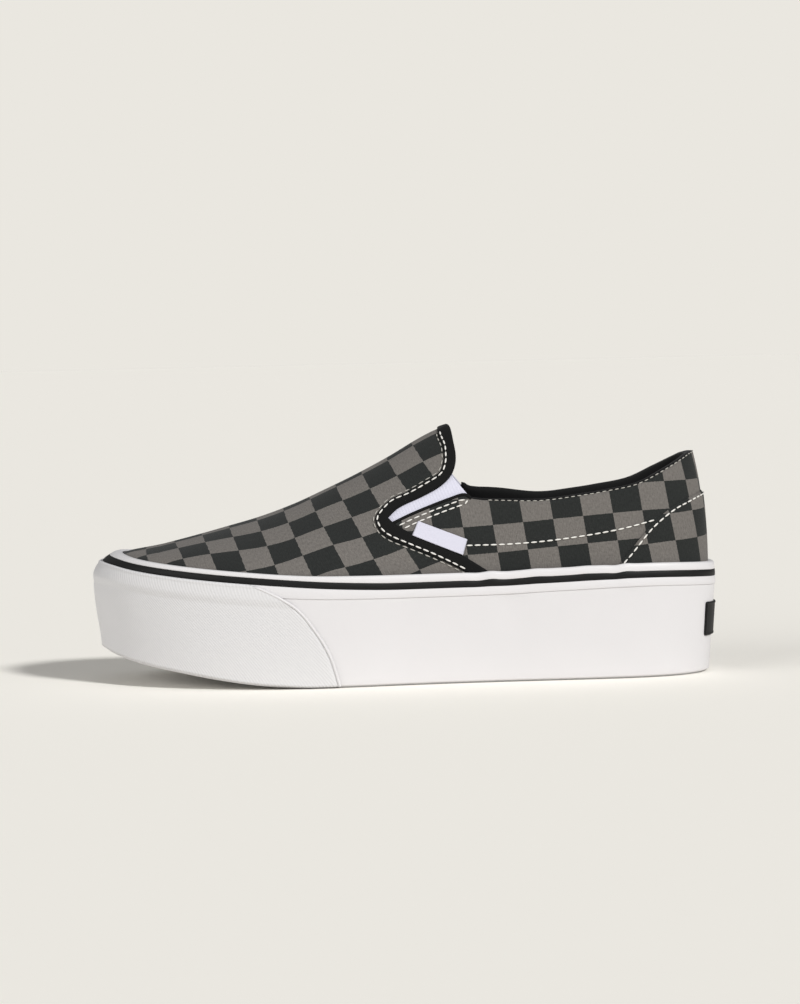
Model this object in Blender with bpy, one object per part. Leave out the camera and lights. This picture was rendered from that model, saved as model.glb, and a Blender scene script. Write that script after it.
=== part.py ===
"""Slip-on sneaker, left shoe, in metres: toe to -X, outer side to -Y, standing on z = 0."""
import bpy
import bmesh
import numpy as np

for old in list(bpy.data.objects):
    bpy.data.objects.remove(old, do_unlink=True)

# Main sizes
LENGTH = 0.2697         # outline of the sole at the foot of the tape, toe to heel
WIDTH = 0.0960          # across the ball
PLATFORM_H = 0.0474     # floor to the top edge of the tape, beside the ball
INSTEP_H = 0.0614       # tape to the highest point of the vamp
TOE_SPRING = 0.0146     # lift of the sole under the toe tip
SIDE_FLARE = 0.0029     # how far the foot of the side wall lies inside its top
EDGE_ROUND = 0.0006     # rounding along the bottom edge

# Sole parts
OUTSOLE_RIM = 0.0016    # outsole thickness that shows at the side
OUTSOLE_CORE = 0.0042   # outsole thickness inside the rim
OUTSOLE_STEP = 0.0040   # width of the rim
TAPE_H = 0.0097         # height of the foxing tape
TAPE_T = 0.0034         # its thickness along the sides
TAPE_LEAN_TOE = 0.0100  # how far the tape leans back over the toe
TAPE_LEAN = 0.0004      # the same along the sides
LEDGE = 0.0004          # step of the side wall under the tape
STRIPE_LOW = 0.0036     # foot of the tape to the stripe
STRIPE_H = 0.0028       # height of the stripe
GROOVE = 0.0011         # depth of the stripe's groove
STRIPE_T = 0.0007       # thickness of the stripe
BUMPER_T = 0.0009       # toe bumper sheet
PATCH_T = 0.0014        # heel plate
PATCH_HALF = 0.0185     # half its width along the outline
PATCH_LOW = 0.0142      # its lower edge above the floor
PATCH_H = 0.0152        # its height
INSOLE_T = 0.0036

# Upper
WALL = 0.0018           # canvas with its backing
TUCK = 0.0008           # how far the upper's bend lies below the top of the tape
LAY_T = 0.0008          # binding and counter over the canvas
TAB_T = 0.0007
GORE_T = 0.0011
LINING_T = 0.0028       # padded collar
ROLL = 0.0017           # how far the lining stands above the edge of the quarter
GAP = 0.0003            # clearance between two pieces
PRISM = 0.09            # half width of the cutters across the shoe

HALF_TURN = 38          # stations on each side of the shoe
RISE_ROWS = 8           # rows from the tape to the top of a section
TAPE_ROWS = 2           # rows of the upper behind the tape

# Outline of the sole: share of the length from the heel, share of the half width
OUTLINE = [
    (0.000, -0.02), (0.012, -0.32), (0.045, -0.535), (0.100, -0.685), (0.180, -0.755),
    (0.280, -0.785), (0.400, -0.825), (0.500, -0.900), (0.600, -0.980), (0.660, -1.000),
    (0.740, -0.980), (0.820, -0.880), (0.890, -0.700), (0.945, -0.460), (0.982, -0.180),
    (1.000, 0.160), (0.987, 0.480), (0.955, 0.680), (0.900, 0.860), (0.830, 0.970),
    (0.760, 1.000), (0.680, 0.960), (0.600, 0.870), (0.500, 0.750), (0.400, 0.690),
    (0.300, 0.680), (0.200, 0.695), (0.120, 0.650), (0.050, 0.500), (0.013, 0.280),
]
# Top edge of the tape: share of the length, share of PLATFORM_H
TAPE_TOP = [
    (0.00, 0.996), (0.03, 1.015), (0.12, 1.036), (0.25, 1.027), (0.35, 1.010), (0.45, 1.002),
    (0.55, 1.000), (0.65, 1.011), (0.75, 1.046), (0.85, 1.093), (0.92, 1.139), (0.97, 1.185),
    (1.00, 1.203),
]
# Underside: share of the length, share of TOE_SPRING
SPRING = [
    (0.000, 0.00), (0.640, 0.00), (0.674, 0.03), (0.729, 0.11), (0.797, 0.29), (0.854, 0.47),
    (0.901, 0.62), (0.935, 0.75), (0.958, 0.85), (0.991, 1.00), (1.000, 1.04),
]
# Crest of the vamp above the tape: share of the length, share of INSTEP_H
CREST = [
    (0.110, 1.16), (0.250, 1.14), (0.350, 1.08), (0.424, 0.982), (0.442, 0.956), (0.468, 0.909),
    (0.520, 0.781), (0.573, 0.661), (0.625, 0.545), (0.677, 0.438), (0.729, 0.351),
    (0.781, 0.268), (0.833, 0.195), (0.872, 0.137), (0.886, 0.115),
]
# Sideways place of the crest: share of the length, share of the half width
SPINE = [(0.00, -0.02), (0.30, 0.00), (0.55, 0.03), (0.75, 0.08), (0.886, 0.14), (1.00, 0.16)]
# Fullness of a section: share of the length, near the tape, near the crest
FULLNESS = [
    (0.000, 0.72, 0.24), (0.060, 0.72, 0.26), (0.120, 0.72, 0.32), (0.200, 0.64, 0.50),
    (0.300, 0.55, 0.56), (0.380, 0.46, 0.52), (0.450, 0.38, 0.44), (0.520, 0.31, 0.40),
    (0.600, 0.28, 0.38), (0.680, 0.28, 0.38), (0.760, 0.32, 0.42), (0.840, 0.42, 0.50),
    (0.900, 0.45, 0.52), (1.000, 0.35, 0.50),
]
# Lean of the tape over the toe: share of the length, share of TAPE_LEAN_TOE
LEAN = [
    (0.00, 0.00), (0.76, 0.00), (0.84, 0.05), (0.90, 0.20), (0.94, 0.42), (0.97, 0.70),
    (1.00, 1.00),
]
HEEL_AXIS = 0.110       # sections fan out round this station at the heel
TOE_AXIS = 0.886        # and round this one at the toe

# Side views: share of the length from the heel, share of INSTEP_H above the tape
VAMP_EDGE = [
    (0.4235, 0.998), (0.4205, 0.980), (0.417, 0.896), (0.414, 0.810), (0.415, 0.741),
    (0.421, 0.673), (0.430, 0.624), (0.445, 0.575), (0.469, 0.522), (0.495, 0.474),
    (0.510, 0.437), (0.523, 0.383),
]
QUARTER_EDGE = [
    (0.514, 0.345), (0.486, 0.400), (0.453, 0.456), (0.425, 0.499), (0.406, 0.525),
    (0.397, 0.520), (0.391, 0.497),
]
COLLAR_EDGE = [
    (0.375, 0.486), (0.345, 0.478), (0.283, 0.461), (0.222, 0.480), (0.182, 0.499),
    (0.131, 0.537), (0.088, 0.626), (0.054, 0.712), (0.041, 0.748), (0.020, 0.783),
    (-0.05, 0.830),
]
TRIM_FRONT = [
    (0.4405, 0.990), (0.4400, 0.916), (0.433, 0.855), (0.432, 0.794), (0.433, 0.744),
    (0.440, 0.676), (0.464, 0.611), (0.489, 0.553), (0.515, 0.506), (0.529, 0.456),
    (0.540, 0.397), (0.542, 0.354), (0.536, 0.295), (0.521, 0.241), (0.487, 0.177),
    (0.448, 0.103), (0.404, 0.004), (0.380, -0.060),
]
TRIM_REAR = [
    (0.514, 0.345), (0.498, 0.299), (0.471, 0.244), (0.447, 0.197), (0.408, 0.114),
    (0.376, 0.025), (0.350, -0.060),
]
GORE_OUTLINE = [
    (0.555, 0.40), (0.515, 0.26), (0.470, 0.31), (0.430, 0.39), (0.396, 0.45),
    (0.394, 0.50), (0.400, 0.545), (0.408, 0.594), (0.421, 0.650), (0.436, 0.690),
    (0.455, 0.660), (0.490, 0.560), (0.530, 0.500),
]
COUNTER_EDGE = [
    (0.168, -0.060), (0.160, 0.009), (0.144, 0.088), (0.124, 0.194), (0.107, 0.272),
    (0.082, 0.360), (0.060, 0.409), (0.019, 0.476), (-0.05, 0.518),
]
TAB_OUTLINE = [(0.472, 0.362), (0.399, 0.232), (0.405, 0.134), (0.480, 0.268)]
BUMPER_EDGE = [         # height share from the floor to the stripe, share of the length
    (0.00, 0.601), (0.08, 0.604), (0.34, 0.617), (0.59, 0.640), (0.79, 0.667), (0.88, 0.690),
    (0.94, 0.711), (0.98, 0.728), (1.00, 0.738),
]

COLOURS = {
    "white_rubber": (0.86, 0.85, 0.83), "black_rubber": (0.012, 0.012, 0.012),
    "check_canvas": (0.09, 0.09, 0.085), "black_trim": (0.012, 0.012, 0.013),
    "gore_elastic": (0.78, 0.78, 0.83), "lining": (0.02, 0.02, 0.021),
    "outsole_rubber": (0.72, 0.70, 0.67), "tab_ribbon": (0.80, 0.80, 0.84),
}


def curve(table, s):
    """Value of a two-column table at the shares s, by a monotone cubic through its rows."""
    rows = sorted(table)
    xs = np.array([row[0] for row in rows])
    ys = np.array([row[1] for row in rows])
    steps = np.diff(ys) / np.diff(xs)
    slope = np.concatenate([[steps[0]], (steps[:-1] + steps[1:]) / 2, [steps[-1]]])
    flat = steps[:-1] * steps[1:] <= 0
    slope[1:-1][flat] = 0.0
    s = np.clip(np.asarray(s, float), xs[0], xs[-1])
    cell = np.clip(np.searchsorted(xs, s) - 1, 0, len(xs) - 2)
    width = xs[cell + 1] - xs[cell]
    u = (s - xs[cell]) / width
    return ((2 * u**3 - 3 * u**2 + 1) * ys[cell] + (u**3 - 2 * u**2 + u) * width * slope[cell]
            + (3 * u**2 - 2 * u**3) * ys[cell + 1] + (u**3 - u**2) * width * slope[cell + 1])


def closed_curve(points, count):
    """Dense closed curve with continuous curvature through the points, by arc length."""
    pts = np.array(points, float)
    size = len(pts)
    chord = np.linalg.norm(np.roll(pts, -1, 0) - pts, axis=1)
    system = np.zeros((size, size))
    right = np.zeros((size, 2))
    for i in range(size):
        before = (i - 1) % size
        after = (i + 1) % size
        system[i, before] = chord[before]
        system[i, i] = 2 * (chord[before] + chord[i])
        system[i, after] = chord[i]
        right[i] = 6 * ((pts[after] - pts[i]) / chord[i] - (pts[i] - pts[before]) / chord[before])
    second = np.linalg.solve(system, right)
    line = []
    for i in range(size):
        after = (i + 1) % size
        for step in range(count):
            b = step / count
            a = 1 - b
            line.append(a * pts[i] + b * pts[after] + chord[i]**2 / 6
                        * ((a**3 - a) * second[i] + (b**3 - b) * second[after]))
    return np.array(line)


def x_of(s):
    return LENGTH * (0.5 - np.asarray(s, float))


def s_of(x):
    return 0.5 - np.asarray(x, float) / LENGTH


def tape_top(s):
    return PLATFORM_H * curve(TAPE_TOP, s)


def tape_foot(s):
    return tape_top(s) - TAPE_H


def underside(s):
    return TOE_SPRING * curve(SPRING, s)


def lean(s, height):
    """How far the tape leans inward at a share of its height."""
    return (TAPE_LEAN + TAPE_LEAN_TOE * curve(LEAN, s)) * np.power(height, 1.6)


# Stations of the outline: heel point, outer side to the toe tip, inner side back
DENSE = closed_curve([(x_of(s), y * WIDTH / 2) for s, y in OUTLINE], 24)
TANGENT = np.roll(DENSE, -1, 0) - np.roll(DENSE, 1, 0)
OUTWARD = np.stack([TANGENT[:, 1], -TANGENT[:, 0]], 1)
OUTWARD /= np.linalg.norm(OUTWARD, axis=1)[:, None]
if np.sum(OUTWARD * (DENSE - DENSE.mean(0))) < 0:
    OUTWARD = -OUTWARD
DENSE_N = len(DENSE)
TOE_AT = int(np.argmin(DENSE[:, 0]))
HEEL_AT = int(np.argmax(DENSE[:, 0]))


def branch(first, last):
    """Dense places from one to another, going on through the start of the curve."""
    if last <= first:
        last += DENSE_N
    return np.arange(first, last + 1)


OUTER = branch(HEEL_AT, TOE_AT)
INNER = branch(TOE_AT, HEEL_AT)


def place_on(side, x):
    """Dense place on one side at x."""
    xs = DENSE[side % DENSE_N, 0]
    order = np.argsort(xs)
    return np.interp(x, xs[order], side[order].astype(float))


def outline_at(q):
    """Point, outward direction and length share at dense places q."""
    q = np.asarray(q, float)
    low = np.floor(q).astype(int)
    part = (q - low)[..., None]
    point = DENSE[low % DENSE_N] * (1 - part) + DENSE[(low + 1) % DENSE_N] * part
    out = OUTWARD[low % DENSE_N] * (1 - part) + OUTWARD[(low + 1) % DENSE_N] * part
    out = out / np.linalg.norm(out, axis=-1)[..., None]
    return point, out, np.clip(s_of(point[..., 0]), 0, 1)


X_HEEL = DENSE[HEEL_AT, 0]
X_TOE = DENSE[TOE_AT, 0]
TURN = (1 - np.cos(np.pi * np.arange(1, HALF_TURN) / HALF_TURN)) / 2
X_STATIONS = X_HEEL + (X_TOE - X_HEEL) * TURN
Q_OUTER = place_on(OUTER, X_STATIONS)
Q_INNER = place_on(INNER, X_STATIONS)
STATIONS = np.concatenate([[OUTER[0]], Q_OUTER, [OUTER[-1]], Q_INNER[::-1]])
POINT, OUT, SHARE = outline_at(STATIONS)
COUNT = len(STATIONS)


def ring(inset, level, lift=0.0):
    """Closed ring of points: the outline set in, on a level of the sole, lifted."""
    flat = POINT - OUT * np.broadcast_to(inset, COUNT)[:, None]
    return np.column_stack([flat, level(s_of(flat[:, 0])) + lift])


def finish_mesh(name, bm, collection):
    """Make an object of a mesh, its faces turned outward."""
    bmesh.ops.remove_doubles(bm, verts=bm.verts, dist=2e-6)
    bmesh.ops.dissolve_degenerate(bm, dist=1e-6, edges=bm.edges)
    bmesh.ops.recalc_face_normals(bm, faces=bm.faces)
    mesh = bpy.data.meshes.new(name)
    bm.to_mesh(mesh)
    bm.free()
    obj = bpy.data.objects.new(name, mesh)
    collection.objects.link(obj)
    return obj


def add_rows(bm, rows, wrap):
    """Faces between rows of points; wrap closes each row."""
    made = [[bm.verts.new(p) for p in row] for row in rows]
    for low, high in zip(made, made[1:]):
        last = len(low) if wrap else len(low) - 1
        for i in range(last):
            j = (i + 1) % len(low)
            bm.faces.new((low[i], low[j], high[j], high[i]))
    return made


def cap(bm, row):
    """Close a ring across the shoe, station against station."""
    half = COUNT // 2
    bm.faces.new((row[0], row[1], row[-1]))
    for i in range(1, half - 1):
        bm.faces.new((row[i], row[i + 1], row[COUNT - i - 1], row[COUNT - i]))
    bm.faces.new((row[half - 1], row[half], row[half + 1]))


def block(name, rings, collection):
    """Solid of stacked rings, capped at both ends."""
    bm = bmesh.new()
    rows = add_rows(bm, rings, True)
    cap(bm, rows[0])
    cap(bm, rows[-1])
    return finish_mesh(name, bm, collection)


def band(name, rings, collection):
    """Solid ring of a closed cross-section."""
    bm = bmesh.new()
    add_rows(bm, rings + [rings[0]], True)
    return finish_mesh(name, bm, collection)


def sheet(name, near, far, collection, wrap=False):
    """Solid between two grids of points of the same size."""
    bm = bmesh.new()
    low = add_rows(bm, near, wrap)
    high = add_rows(bm, far, wrap)
    edges = [(low[0], high[0]), (low[-1], high[-1])]
    if not wrap:
        edges += [([r[0] for r in low], [r[0] for r in high]),
                  ([r[-1] for r in low], [r[-1] for r in high])]
    for a, b in edges:
        last = len(a) if wrap else len(a) - 1
        for i in range(last):
            j = (i + 1) % len(a)
            bm.faces.new((a[i], a[j], b[j], b[i]))
    return finish_mesh(name, bm, collection)


def smooth_line(points, steps=2):
    """Catmull-Rom curve through the points of a table, in the side view."""
    flat = [np.array((float(x_of(s)), float(tape_top(np.clip(s, 0, 1)) + INSTEP_H * z)))
            for s, z in points]
    line = []
    for i in range(len(flat) - 1):
        p0 = flat[max(i - 1, 0)]
        p1 = flat[i]
        p2 = flat[i + 1]
        p3 = flat[min(i + 2, len(flat) - 1)]
        for step in range(steps):
            t = step / steps
            line.append(0.5 * (2 * p1 + (p2 - p0) * t + (2 * p0 - 5 * p1 + 4 * p2 - p3) * t**2
                               + (3 * p1 - p0 - 3 * p2 + p3) * t**3))
    return line + [flat[-1]]


def prism(name, profile, y_low, y_high, collection):
    """Cutter: a closed side-view profile, drawn out across the shoe."""
    bm = bmesh.new()
    low = [bm.verts.new((p[0], y_low, p[1])) for p in profile]
    high = [bm.verts.new((p[0], y_high, p[1])) for p in profile]
    bm.faces.new(low)
    bm.faces.new(high[::-1])
    for i in range(len(low)):
        j = (i + 1) % len(low)
        bm.faces.new((low[i], high[i], high[j], low[j]))
    return finish_mesh(name, bm, collection)


def trim(obj, cutter, operation):
    """Cut an object with a cutter that stays live in the scene."""
    cut = obj.modifiers.new(cutter.name, "BOOLEAN")
    cut.operation = operation
    cut.solver = "EXACT"
    cut.object = cutter


def paint(obj, slot):
    name = obj.name + "_" + slot
    material = bpy.data.materials.new(name)
    material.use_nodes = True
    shader = material.node_tree.nodes["Principled BSDF"]
    shader.inputs["Base Color"].default_value = (*COLOURS[slot], 1.0)
    shader.inputs["Roughness"].default_value = 0.6
    obj.data.materials.clear()
    obj.data.materials.append(material)


# Upper: the last's surface
def axis_at(x):
    """Point of the crest over x, and the crest's slope there."""
    x = np.clip(x, x_of(TOE_AXIS), x_of(HEEL_AXIS))
    s = s_of(x)
    step = 0.001
    z = tape_top(s) + INSTEP_H * curve(CREST, s)
    ahead = tape_top(s + step) + INSTEP_H * curve(CREST, s + step)
    slope = np.where(s + step < TOE_AXIS, (ahead - z) / (-step * LENGTH), 0.23)
    slope = np.where(s < HEEL_AXIS + 0.01, 0.0, slope)
    return np.stack([x, WIDTH / 2 * curve(SPINE, s), z], -1), slope


def upper_inset(s, height):
    """Inset of the upper's outside behind the tape."""
    return TAPE_T + GAP + lean(s, height)


def fullness(s):
    near = curve([(row[0], row[1]) for row in FULLNESS], s)
    far = curve([(row[0], row[2]) for row in FULLNESS], s)
    return near, far


FEATHER_FLAT = POINT - OUT * upper_inset(SHARE, 1.0)[:, None]
FEATHER = np.column_stack([FEATHER_FLAT, tape_top(s_of(FEATHER_FLAT[:, 0])) - TUCK])
MIRROR = (COUNT - np.arange(COUNT)) % COUNT
AXIS, SLOPE = axis_at((FEATHER[:, 0] + FEATHER[MIRROR, 0]) / 2)


def section(t):
    """Outside of the upper at share t of every section, 0 at the tape and 1 at the crest."""
    t = np.broadcast_to(t, COUNT)[:, None]
    near, far = fullness(SHARE)
    rise = AXIS[:, 2] - FEATHER[:, 2]
    first = FEATHER + np.column_stack([np.zeros((COUNT, 2)), near * rise])
    second = AXIS + far[:, None] * (FEATHER - AXIS)
    second[:, 2] = AXIS[:, 2] + SLOPE * (second[:, 0] - AXIS[:, 0])
    return ((1 - t)**3 * FEATHER + 3 * (1 - t)**2 * t * first + 3 * (1 - t) * t**2 * second
            + t**3 * AXIS)


def normal_at(t):
    """Outward direction of the upper's outside at share t of every section."""
    t = np.broadcast_to(t, COUNT)
    step = 0.004
    low = section(np.clip(t - step, 0, 1))
    high = section(np.clip(t + step, 0, 1))
    up = high - low
    here = section(np.clip(t, 0, 1 - 1e-3))
    along = np.roll(here, -1, 0) - np.roll(here, 1, 0)
    out = np.cross(up, along)
    size = np.linalg.norm(out, axis=1)
    out = out / np.maximum(size, 1e-12)[:, None]
    sign = np.sign(out[:, 0] * OUT[:, 0] + out[:, 1] * OUT[:, 1] + 0.2 * out[:, 2])
    out = out * sign[:, None]
    pole = np.column_stack([-SLOPE, np.zeros(COUNT), np.ones(COUNT)])
    pole = pole / np.linalg.norm(pole, axis=1)[:, None]
    blend = np.clip((t - 0.9) / 0.1, 0, 1)[:, None]
    mixed = out * (1 - blend) + pole * blend
    return mixed / np.linalg.norm(mixed, axis=1)[:, None]


def shell_point(t, offset):
    """Point at share t, moved out of the surface by offset (inward when negative)."""
    return section(t) + normal_at(t) * offset


def t_at_height(z):
    """Share t where every section reaches the height z."""
    shares = np.linspace(0, 1, 161)
    heights = np.array([section(t)[:, 2] for t in shares])
    z = np.broadcast_to(z, COUNT)
    return np.array([np.interp(z[i], heights[:, i], shares) for i in range(COUNT)])


def behind_tape(height, depth):
    """Ring of the upper behind the tape at a share of the tape's height."""
    return ring(upper_inset(SHARE, height) + depth, tape_foot, (TAPE_H - TUCK) * height)


ROWS = np.linspace(0, 1, RISE_ROWS + 1)[1:]


def build_upper(collection):
    outside = [behind_tape(h / TAPE_ROWS, 0.0) for h in range(TAPE_ROWS + 1)]
    outside += [section(t) for t in ROWS]
    inside = [behind_tape(h / TAPE_ROWS, WALL) for h in range(TAPE_ROWS)]
    bend = normal_at(0.02) * 0.5 + np.column_stack([OUT, np.zeros(COUNT)]) * 0.5
    inside.append(FEATHER - bend / np.linalg.norm(bend, axis=1)[:, None] * WALL * 1.03)
    inside += [shell_point(t, -WALL) for t in ROWS]
    bm = bmesh.new()
    out_rows = add_rows(bm, outside, True)
    in_rows = add_rows(bm, inside, True)
    for i in range(COUNT):
        j = (i + 1) % COUNT
        bm.faces.new((out_rows[0][i], out_rows[0][j], in_rows[0][j], in_rows[0][i]))
    return finish_mesh("upper", bm, collection)


def across(first, last, start, rows, offset):
    """Grid over the shoe: station pairs first..last, from outer tape to inner tape."""
    shares = np.linspace(0, 1, rows + 1)
    grids = [shell_point(start + (1 - start) * u, offset) for u in shares]
    lines = []
    for k in range(first, last + 1):
        near = [grids[r][k] for r in range(rows + 1)]
        far = [grids[r][MIRROR[k]] for r in range(rows)]
        lines.append(near + far[::-1])
    return lines


def around(places, low, high, rows, offset):
    """Grid over stations in a given order, between shares low and high."""
    lines = []
    for u in np.linspace(0, 1, rows + 1):
        grid = shell_point(low + (high - low) * u, offset)
        lines.append([grid[k] for k in places])
    return lines


def station_near(s):
    """Station of the outer side nearest to a length share."""
    return int(np.argmin(np.abs(SHARE[:HALF_TURN] - s)))


parts = bpy.data.collections.new("slip_on_sneaker")
cutters = bpy.data.collections.new("cutters")
bpy.context.scene.collection.children.link(parts)
bpy.context.scene.collection.children.link(cutters)

# Sole
def wall_inset(share):
    """Inset of the platform's side at a share of its height."""
    return LEDGE + SIDE_FLARE * (1 - share)


def mid_wall(s):
    """Level at the middle of the platform's side."""
    return (underside(s) + tape_foot(s)) / 2


outsole = block("outsole", [
    ring(wall_inset(0.0) + EDGE_ROUND, underside),
    ring(wall_inset(0.0), underside, EDGE_ROUND),
    ring(wall_inset(0.0), underside, OUTSOLE_RIM),
    ring(wall_inset(0.0) + OUTSOLE_STEP, underside, OUTSOLE_RIM),
    ring(wall_inset(0.0) + OUTSOLE_STEP, underside, OUTSOLE_CORE),
], parts)
paint(outsole, "outsole_rubber")

midsole = block("midsole", [
    ring(wall_inset(0.0) + OUTSOLE_STEP - GAP, underside, OUTSOLE_CORE + GAP),
    ring(wall_inset(0.0) + OUTSOLE_STEP - GAP, underside, OUTSOLE_RIM + GAP),
    ring(wall_inset(0.0), underside, OUTSOLE_RIM + GAP),
    ring(wall_inset(0.5), mid_wall),
    ring(wall_inset(1.0), tape_foot, -GAP),
], parts)
paint(midsole, "white_rubber")

stripe_foot = STRIPE_LOW / TAPE_H
stripe_head = (STRIPE_LOW + STRIPE_H) / TAPE_H
slack = GAP / TAPE_H


def tape_ring(height, depth):
    """Ring of the tape at a share of its height, a depth inside its face."""
    return ring(lean(SHARE, height) + depth, tape_foot, TAPE_H * height)


foxing_tape = band("foxing_tape", [
    tape_ring(0.0, 0.0), tape_ring(stripe_foot - slack, 0.0),
    tape_ring(stripe_foot - slack, GROOVE), tape_ring(stripe_head + slack, GROOVE),
    tape_ring(stripe_head + slack, 0.0), tape_ring(0.91, 0.0), tape_ring(1.0, 0.0008),
    tape_ring(1.0, TAPE_T), tape_ring(0.5, TAPE_T), tape_ring(0.0, TAPE_T),
], parts)
paint(foxing_tape, "white_rubber")

foxing_stripe = band("foxing_stripe", [
    tape_ring(stripe_foot, 0.0), tape_ring(stripe_head, 0.0),
    tape_ring(stripe_head, STRIPE_T), tape_ring(stripe_foot, STRIPE_T),
], parts)
paint(foxing_stripe, "black_rubber")


def side_point(q, z_share, depth):
    """Point of the sole's side: share 0 at the bottom, 1 at the stripe."""
    point, out, s = outline_at(q)
    bottom = underside(s) + EDGE_ROUND
    top = tape_foot(s) + STRIPE_LOW - GAP
    z = bottom + (top - bottom) * z_share
    wall_top = tape_foot(s) - GAP
    wall_bottom = underside(s) + OUTSOLE_RIM + GAP
    up_wall = np.clip((z - wall_bottom) / (wall_top - wall_bottom), 0, 1)
    up_tape = np.clip((z - wall_top) / TAPE_H, 0, 1)
    over = np.clip((z - wall_top + 0.004) / 0.003, 0, 1)
    inset = wall_inset(up_wall) * (1 - over) + lean(s, up_tape) * over
    flat = point - out * (inset - depth)[..., None]
    return np.concatenate([flat, z[..., None]], -1)


BUMPER_ROWS = np.array([0.0, 0.40, 0.64, 0.80, 0.88, 0.92, 0.96, 1.0])
BUMPER_COLUMNS = 40
edge_x = x_of(curve(BUMPER_EDGE, BUMPER_ROWS))
first_q = place_on(OUTER, edge_x)
last_q = place_on(INNER, edge_x)
spread = np.linspace(0, 1, BUMPER_COLUMNS + 1)
outer_pull = np.clip(1 - spread / 0.3, 0, 1)**2
inner_pull = outer_pull[::-1]
bumper_q = [first_q[0] + (last_q[0] - first_q[0]) * spread + (a - first_q[0]) * outer_pull
            + (b - last_q[0]) * inner_pull for a, b in zip(first_q, last_q)]
toe_bumper = sheet(
    "toe_bumper",
    [side_point(q, np.full(q.shape, h), GAP) for q, h in zip(bumper_q, BUMPER_ROWS)],
    [side_point(q, np.full(q.shape, h), GAP + BUMPER_T) for q, h in zip(bumper_q, BUMPER_ROWS)],
    parts)
paint(toe_bumper, "white_rubber")

reach = np.cumsum(np.concatenate([[0], np.linalg.norm(np.diff(
    DENSE[branch(HEEL_AT, TOE_AT) % DENSE_N], axis=0), axis=1)]))
patch_q = HEEL_AT + np.linspace(-1, 1, 15) * np.interp(
    PATCH_HALF, reach, np.arange(len(reach)))
side_h = float(tape_foot(0.0)) + STRIPE_LOW - GAP - EDGE_ROUND
patch_rows = (np.linspace(0, 1, 4) * PATCH_H + PATCH_LOW - EDGE_ROUND) / side_h
heel_patch = sheet(
    "heel_patch",
    [side_point(patch_q, np.full(patch_q.shape, h), GAP) for h in patch_rows],
    [side_point(patch_q, np.full(patch_q.shape, h), GAP + PATCH_T) for h in patch_rows],
    parts)
paint(heel_patch, "black_rubber")

# Upper and what it carries
upper = build_upper(parts)
sky = PLATFORM_H + INSTEP_H * 1.6
behind = float(x_of(-0.08))
opening = (smooth_line(VAMP_EDGE) + smooth_line(QUARTER_EDGE) + smooth_line(COLLAR_EDGE))
opening += [np.array((behind, opening[-1][1])), np.array((behind, sky)),
            np.array((opening[0][0], sky))]
trim(upper, prism("opening_cutter", opening, -PRISM, PRISM, cutters), "DIFFERENCE")
paint(upper, "check_canvas")

clear = t_at_height(FEATHER[:, 2] + TUCK + 1.4 * GAP)

throat = across(station_near(0.345), station_near(0.60), clear, 10, GAP)
throat_over = across(station_near(0.345), station_near(0.60), clear, 10, GAP + LAY_T)
throat_binding = sheet("throat_binding", throat, throat_over, parts)
strip = smooth_line(TRIM_FRONT)[::-1] + [smooth_line(VAMP_EDGE)[0] + np.array((0.0, 0.02))]
strip = (smooth_line(TRIM_REAR)[::-1][:-1] + smooth_line(VAMP_EDGE)[::-1]
         + [smooth_line(VAMP_EDGE)[0] + np.array((0.0, 0.02)),
            smooth_line(TRIM_FRONT)[0] + np.array((0.0, 0.02))] + smooth_line(TRIM_FRONT))
trim(throat_binding, prism("trim_cutter", strip, -PRISM, PRISM, cutters), "INTERSECT")
paint(throat_binding, "black_trim")

counter_end = station_near(0.185)
counter_places = [COUNT - k if k else 0 for k in range(counter_end, 0, -1)]
counter_places = [MIRROR[k] for k in range(counter_end, 0, -1)] + list(range(counter_end + 1))
counter_top = t_at_height(float(tape_top(0.0)) + INSTEP_H * 0.56)
heel_counter = sheet(
    "heel_counter", around(counter_places, clear, counter_top, 5, GAP),
    around(counter_places, clear, counter_top, 5, GAP + LAY_T), parts)
wing = smooth_line(COUNTER_EDGE)
wing += [np.array((behind, wing[-1][1])), np.array((behind, 0.0)), np.array((wing[0][0], 0.0))]
trim(heel_counter, prism("counter_cutter", wing, -PRISM, PRISM, cutters), "INTERSECT")
paint(heel_counter, "check_canvas")

inside = -(WALL + GAP)
lining_end = station_near(0.375)
lining_places = ([MIRROR[k] for k in range(lining_end, 0, -1)] + list(range(lining_end + 1)))
lining_low = t_at_height(tape_top(SHARE) + INSTEP_H * 0.22)
lining_high = t_at_height(tape_top(SHARE) + INSTEP_H * 0.86)
collar_lining = sheet(
    "collar_lining", around(lining_places, lining_low, lining_high, 8, inside),
    around(lining_places, lining_low, lining_high, 8, inside - LINING_T), parts)
raised = [p + np.array((0.0, ROLL)) for p in smooth_line(COLLAR_EDGE)]
raised = ([np.array((float(x_of(0.43)), raised[0][1]))] + raised
          + [np.array((behind, raised[-1][1])), np.array((behind, sky)),
             np.array((float(x_of(0.43)), sky))])
trim(collar_lining, prism("collar_cutter", raised, -PRISM, PRISM, cutters), "DIFFERENCE")
paint(collar_lining, "lining")

gore_low = t_at_height(tape_top(SHARE) + INSTEP_H * 0.18)
gore_high = t_at_height(tape_top(SHARE) + INSTEP_H * 0.78)
patch = smooth_line(GORE_OUTLINE + GORE_OUTLINE[:1])[:-1]
for name, turn, y_low, y_high in (("gore_lateral", False, -PRISM, 0.0),
                                  ("gore_medial", True, 0.0, PRISM)):
    places = list(range(station_near(0.385), station_near(0.58) + 1))
    if turn:
        places = [MIRROR[k] for k in places]
    gore = sheet(name, around(places, gore_low, gore_high, 8, inside),
                 around(places, gore_low, gore_high, 8, inside - GORE_T), parts)
    trim(gore, prism(name + "_cutter", patch, y_low, y_high, cutters), "INTERSECT")
    paint(gore, "gore_elastic")

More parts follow.
